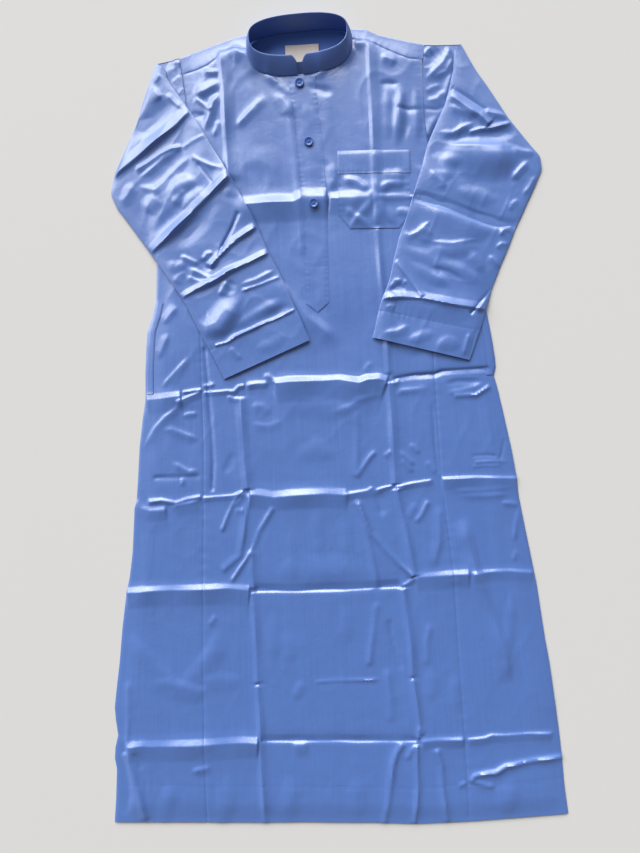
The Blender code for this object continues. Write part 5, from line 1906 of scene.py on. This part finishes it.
@dataclass(frozen=True)
class Button:
    """One sewn button.

    Attributes:
        name: Its piece's name.
        solid: The solid that it replaces.
        x: Its place, mm.
        y: Its place, mm.
        z: Height of its underside, mm.
        radius: Its radius, mm.
        height: Its height, mm.
        hole_ring: Distance of its holes from its middle, mm.
        hole_radius: Radius of a hole, mm.
        thread_radius: Radius of the sewing thread, mm.
    """

    name: str
    solid: str
    x: float
    y: float
    z: float
    radius: float = 8.1
    height: float = 2.9
    hole_ring: float = 1.75
    hole_radius: float = 0.85
    thread_radius: float = 0.42

    def place(self, lift: float = 0.0) -> Vector:
        """Its centre in metres, with the height above its underside in mm."""
        return Vector((self.x - MIDDLE[0], self.y - MIDDLE[1], self.z + lift)) * MM

    def build(self, shop: Workshop) -> None:
        """Turns the button from a disc, drills it and sews it on."""
        deselect()
        middle = self.place(self.height / 2)
        bpy.ops.mesh.primitive_cylinder_add(
            vertices=48, radius=self.radius * MM, depth=self.height * MM, location=middle)
        disc = bpy.context.active_object
        disc.name = self.name
        self.dish(disc)
        self.drill(disc)
        pick(disc)
        bpy.ops.object.transform_apply(location=True, rotation=True, scale=True)
        bpy.ops.object.shade_smooth_by_angle(angle=math.radians(32.0))
        dress(disc, shop.plastic, (self.solid,))
        self.sew(shop)

    def to_hole(self, turn: float) -> Vector:
        """The way from its middle to a hole at an angle, metres."""
        return Vector((math.cos(turn), math.sin(turn), 0.0)) * self.hole_ring * MM

    def dish(self, disc: bpy.types.Object) -> None:
        """Insets the top face and sinks it inside a rounded rim."""
        pick(disc)
        bpy.ops.object.mode_set(mode="EDIT")
        bpy.ops.mesh.select_all(action="DESELECT")
        shape = bmesh.from_edit_mesh(disc.data)
        for face in shape.faces:
            face.select = face.normal.z > 0.9 and len(face.verts) > 8
        bmesh.update_edit_mesh(disc.data)
        for inset, drop in ((0.5, 0.0), (0.9, 0.18), (0.8, -0.15), (0.7, -0.75), (1.0, -0.22)):
            bpy.ops.mesh.inset(thickness=inset * MM, depth=0.0)
            bpy.ops.transform.translate(value=(0.0, 0.0, drop * MM))
        bpy.ops.object.mode_set(mode="OBJECT")
        edge = disc.modifiers.new("rim", "BEVEL")
        edge.width = 0.35 * MM
        edge.segments = 3
        edge.limit_method = "ANGLE"
        bpy.ops.object.modifier_apply(modifier=edge.name)

    def drill(self, disc: bpy.types.Object) -> None:
        """Cuts the four thread holes."""
        for k in range(4):
            hole = self.place(self.height / 2) + self.to_hole(math.tau * (k + 0.5) / 4)
            bpy.ops.mesh.primitive_cylinder_add(
                vertices=14, radius=self.hole_radius * MM, depth=12 * MM, location=hole)
            rod = bpy.context.active_object
            cut = disc.modifiers.new("hole", "BOOLEAN")
            cut.operation = "DIFFERENCE"
            cut.object = rod
            pick(disc)
            bpy.ops.object.modifier_apply(modifier=cut.name)
            bpy.data.objects.remove(rod)

    def sew(self, shop: Workshop) -> None:
        """Two bars of thread through the holes."""
        bars = []
        for way in (1.0, -1.0):
            reach = self.to_hole(math.tau / 8 * way)
            shape = bpy.data.curves.new(self.name + "_thread", "CURVE")
            shape.dimensions = "3D"
            shape.bevel_depth = self.thread_radius * MM
            shape.bevel_resolution = 2
            shape.use_fill_caps = True
            line = shape.splines.new("POLY")
            heights = (0.6, 1.9, 2.35, 2.35, 1.9, 0.6)
            shares = (-1.0, -1.0, -0.7, 0.7, 1.0, 1.0)
            line.points.add(5)
            for point, share, lift in zip(line.points, shares, heights):
                point.co = (*(self.place(lift) + reach * share), 1.0)
            bars.append(placed_object(self.name + "_thread", shape))
        deselect()
        for bar in bars:
            bar.select_set(True)
        bpy.context.view_layer.objects.active = bars[0]
        bpy.ops.object.convert(target="MESH")
        bpy.ops.object.join()
        thread = bpy.context.active_object
        thread.name = self.name + "_thread"
        thread.data.uv_layers.new(name="weave")
        dress(thread, shop.thread, ())


@dataclass(frozen=True)
class StitchRow:
    """One row of machine stitches.

    Attributes:
        name: Its piece's name.
        path: Its corners in plan, mm.
        stitch: Length of one stitch, mm.
        gap: Space between two stitches, mm.
        radius: Half the thread's thickness, mm.
    """

    name: str
    path: Path
    stitch: float = 2.3
    gap: float = 0.9
    radius: float = 0.24

    def stations(self) -> list[tuple[np.ndarray, np.ndarray]]:
        """The two ends of each stitch in plan."""
        corners = np.array(self.path, float)
        lengths = np.linalg.norm(np.diff(corners, axis=0), axis=1)
        before = np.concatenate([[0.0], np.cumsum(lengths)])
        starts = np.arange(0.5, before[-1] - self.stitch, self.stitch + self.gap)
        first, last = (
            np.stack([np.interp(at, before, corners[:, i]) for i in (0, 1)], axis=1)
            for at in (starts, starts + self.stitch))
        return list(zip(first, last))

    @staticmethod
    def surface(trees: Sequence[BVHTree], place: np.ndarray) -> Optional[float]:
        """The highest cloth over one plan point, metres."""
        best = None
        spot = Vector(((place[0] - MIDDLE[0]) * MM, (place[1] - MIDDLE[1]) * MM, 0.2))
        for tree in trees:
            hit = tree.ray_cast(spot, Vector((0.0, 0.0, -1.0)))[0]
            if hit is not None and (best is None or hit.z > best):
                best = hit.z
        return best

    def build(self, shop: Workshop, trees: Sequence[BVHTree]) -> None:
        """Lays every stitch on the cloth as a short thread with round ends."""
        points, faces = [], []
        for start, end in self.stations():
            heights = [self.surface(trees, place) for place in (start, (start + end) / 2, end)]
            if None in heights:
                continue
            self.add_stitch(points, faces, start, end, heights)
        mesh = bpy.data.meshes.new(self.name)
        mesh.from_pydata(points, [], faces)
        mesh.shade_smooth()
        mesh.uv_layers.new(name="weave")
        dress(placed_object(self.name, mesh), shop.thread, ())

    def add_stitch(self, points: list, faces: list, start: np.ndarray, end: np.ndarray,
                   heights: Sequence[float]) -> None:
        """Adds one stitch to a row.

        Args:
            points: The row's points.
            faces: The row's faces.
            start: The stitch's first end in plan, mm.
            end: Its other end in plan, mm.
            heights: The cloth's height at its start, middle and end, metres.
        """
        way = (end - start) / np.linalg.norm(end - start)
        across = np.array((-way[1], way[0]))
        radius = self.radius
        half = ((0.0, 0.25, -0.05), (0.18, 0.9, 0.10))
        sections = (*half, (0.5, 1.0, 0.16), *((1.0 - share, fat, lift) for share, fat, lift in half[::-1]))
        first = len(points)
        for share, fat, lift in sections:
            centre = start + (end - start) * share
            z = float(np.interp(share, (0.0, 0.5, 1.0), heights)) / MM + lift
            for k in range(6):
                turn = math.tau * k / 6
                side = across * radius * fat * math.cos(turn)
                spot = np.array((*(centre + side), z + radius * fat * math.sin(turn)))
                points.append(tuple((spot - MIDDLE) * MM))
        for ring in range(len(sections) - 1):
            for k in range(6):
                a = first + ring * 6 + k
                b = first + ring * 6 + (k + 1) % 6
                faces.append((a, b, b + 6, a + 6))
        faces.append(tuple(first + k for k in reversed(range(6))))
        last = first + (len(sections) - 1) * 6
        faces.append(tuple(last + k for k in range(6)))


@dataclass
class Stitching:
    """Every sewn line that shows on the face of the robe."""

    patches: Patches

    def rows(self) -> list[StitchRow]:
        """The rows of stitches, from the collar down."""
        patches = self.patches
        left = patches.placket_edge(-1, 1.6)[:-1] + [(-21.6, 217.5), (-3.0, 202.4)]
        right = patches.placket_edge(1, 1.6)[:-1] + [(16.4, 217.5), (-3.0, 202.4)]
        low = patches.pocket_top - patches.band
        edge_l, edge_r = patches.pocket_left + 1.8, patches.pocket_right - 1.8
        corner_x, corner_y = patches.pocket_corner
        base = patches.pocket_bottom + 1.8
        pocket = [(edge_l, low), (edge_l, base + corner_y), (edge_l + corner_x, base),
                  (edge_r - corner_x, base), (edge_r, base + corner_y), (edge_r, low)]
        yoke = list(zip(PATTERN.yoke_seam_x, np.array(PATTERN.yoke_seam_y) + 2.2))
        facing_left = [(float(PATTERN.edge(y, -1)) + 13.0, y) for y in range(226, 66, -8)]
        facing_right = [(float(PATTERN.edge(y, 1)) - 13.0, y) for y in range(203, 74, -8)]
        return [
            StitchRow("stitch_placket_left", left),
            StitchRow("stitch_placket_right", right),
            StitchRow("stitch_placket_bar", [(-21.0, 283.0), (18.0, 283.0)]),
            StitchRow("stitch_pocket", patches.tilted(np.array(pocket))),
            StitchRow("stitch_pocket_inner", patches.tilted(
                np.array([(edge_l + 1, low + 1.6), (edge_r - 1, low + 1.6)]))),
            StitchRow("stitch_pocket_band", patches.tilted(
                np.array([(edge_l, low + 4.6), (edge_r, low + 4.6)]))),
            StitchRow("stitch_yoke_left", yoke[:7]),
            StitchRow("stitch_yoke_right", yoke[7:]),
            StitchRow("stitch_side_pocket_left", facing_left),
            StitchRow("stitch_side_pocket_right", facing_right),
            StitchRow("stitch_hem", [
                (-398, -628), (-350, -630), (-230, -638), (-77, -644), (62, -652), (181, -657), (281, -657),
                (398, -652)], 3.0, 1.2),
            StitchRow("stitch_cuff_left", [
                (-190, 143), (-148, 162), (-110, 177), (-69, 193), (-40, 206)], 2.8, 1.1),
            StitchRow("stitch_cuff_right", [
                (106, 198), (146, 189), (197, 176), (266, 159), (283, 157)], 2.8, 1.1),
        ]

    def build(self, shop: Workshop) -> None:
        """Sews every row."""
        trees = shop.tops()
        for row in self.rows():
            row.build(shop, trees)


@dataclass(frozen=True)
class Studio:
    """The table, the lights and the camera.

    Attributes:
        camera_height: Height of the camera over the table, metres.
        camera_x: Its place, metres.
        camera_y: Its place, metres.
        camera_turn: How far the picture is turned against the garment, radians.
        lens: Focal length on a 36 mm frame, mm.
        window_power: Strength of the main light, watts per square metre.
        window_width: Its width as seen from the robe, radians.
        window_rise: Its height over the table, radians.
        window_side: How far it stands towards +X from straight beyond the collar, radians.
        second_power: Strength of the second window, watts per square metre.
        second_side: How far that one stands towards +X, radians.
        sky_colour: Colour of the light from all round, linear RGB.
        sky_power: Its strength.
        table_size: Width of the table, metres.
        table_z: Its height, metres, a hair under the robe.
    """

    camera_height: float = 1.191
    camera_x: float = -0.01035
    camera_y: float = -0.00095
    camera_turn: float = math.radians(2.5)
    lens: float = 28.04
    window_power: float = 3.9
    window_width: float = math.radians(42.0)
    window_rise: float = math.radians(29.0)
    window_side: float = math.radians(-3.0)
    second_power: float = 2.6
    second_side: float = math.radians(-50.0)
    sky_colour: tuple[float, float, float] = (0.86, 0.90, 1.0)
    sky_power: float = 0.19
    table_size: float = 8.0
    table_z: float = -0.0003

    def build(self) -> None:
        """Makes the whole studio."""
        self.build_table()
        self.build_camera()
        self.build_window("window", self.window_power, self.window_side)
        self.build_window("second_window", self.second_power, self.second_side)
        world = bpy.data.worlds.new("studio")
        world.use_nodes = True
        feed(world.node_tree, world.node_tree.nodes["Background"], {
            "Color": (*self.sky_colour, 1.0), "Strength": self.sky_power})
        bpy.context.scene.world = world
        bpy.context.scene.view_settings.view_transform = "Standard"

    def build_table(self) -> None:
        """A plain pale surface under the robe."""
        deselect()
        bpy.ops.mesh.primitive_plane_add(size=self.table_size, location=(0.0, 0.0, self.table_z))
        table = bpy.context.active_object
        table.name = "pale_table"
        bpy.ops.object.transform_apply(location=True, rotation=True, scale=True)
        table.data.materials.append(StageFinish().build())

    def build_camera(self) -> None:
        """The camera, straight above the robe."""
        data = bpy.data.cameras.new("overhead")
        data.lens = self.lens
        data.sensor_width = 36.0
        data.sensor_fit = "AUTO"
        camera = placed_object("overhead", data)
        up = Vector((math.sin(self.camera_turn), math.cos(self.camera_turn), 0.0))
        back = Vector((0.0, 0.0, 1.0))
        axes = Matrix((up.cross(back), up, back)).transposed().to_4x4()
        camera.matrix_world = Matrix.Translation((self.camera_x, self.camera_y, self.camera_height)) @ axes
        bpy.context.scene.camera = camera

    def build_window(self, name: str, power: float, side: float) -> None:
        """One broad, far window beyond the collar.

        Args:
            name: The light's name.
            power: Its strength, watts per square metre.
            side: How far it stands towards +X, radians.
        """
        data = bpy.data.lights.new(name, "SUN")
        data.energy = power
        data.angle = self.window_width
        light = placed_object(name, data)
        flat = math.cos(self.window_rise)
        way = Vector((math.sin(side) * flat, math.cos(side) * flat, math.sin(self.window_rise)))
        light.rotation_euler = way.to_track_quat("Z", "Y").to_euler()


def build_robe() -> None:
    """Builds the robe's cloths, trims and stitches in the order in which they lie."""
    weave = WeaveGroup().build()
    satin = WovenFinish("blue_satin", (0.066, 0.150, 0.44), (0.116, 0.230, 0.59))
    # The collar's satin is the body satin with darker deep and light colours: painted shade on the standing
    # band.
    collar_satin = WovenFinish("collar_satin", (0.056, 0.136, 0.44), (0.095, 0.198, 0.57), crumple=0.12)
    inner = WovenFinish(
        "satin_wrong_side", (0.074, 0.160, 0.48), (0.110, 0.220, 0.60), 0.55, 0.7, 0.1, 0.2, 0.35, 0.4, 1.5)
    label = WovenFinish("label_twill", (0.66, 0.57, 0.49), (0.85, 0.77, 0.70), 0.7, 0.85, 0.1, 0.2, 1.0, 0.3)
    thread = WovenFinish(
        "sewing_thread", (0.06, 0.14, 0.46), (0.10, 0.20, 0.60), 0.4, 0.5, 0.3, 0.0, 1.0, 0.5)
    cloths = (satin, collar_satin, inner, label, thread)
    shop = Workshop(*(cloth.build(weave) for cloth in cloths), ButtonFinish().build(), LayMap(), [])
    Body(FrontForm()).build(shop)
    patches = Patches()
    patches.build(shop)
    Collar().build(shop)
    face = shop.lay.eased(3, 0)
    for place, x, y in (("top", -18, 610), ("middle", -6, 505), ("bottom", -2, 393)):
        height = float(face.at(np.array([(x, y)]))[0]) + 0.3
        Button(f"button_{place}_disc", f"button_{place}", x, y, height).build(shop)
    Sleeve("sleeve_right_side_cloth", "sleeve_left", -1, SLEEVE_RIGHT_SIDE, OVER_RIGHT_SIDE, UNDER_RIGHT_SIDE,
           ((-198, 141), (-148, 162), (-110, 177), (-69, 193), (-41, 205))).build(shop)
    Sleeve("sleeve_left_side_cloth", "sleeve_right", 1, SLEEVE_LEFT_SIDE, OVER_LEFT_SIDE, UNDER_LEFT_SIDE,
           ((106, 198), (146, 189), (197, 176), (266, 159), (284, 157))).build(shop)
    Stitching(patches).build(shop)


def main() -> None:
    """Loads the frame, dresses the robe over it and sets the studio."""
    logging.basicConfig(level=logging.INFO, format="%(name)s: %(message)s")
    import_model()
    build_robe()
    Studio().build()


if __name__ == "__main__":
    main()
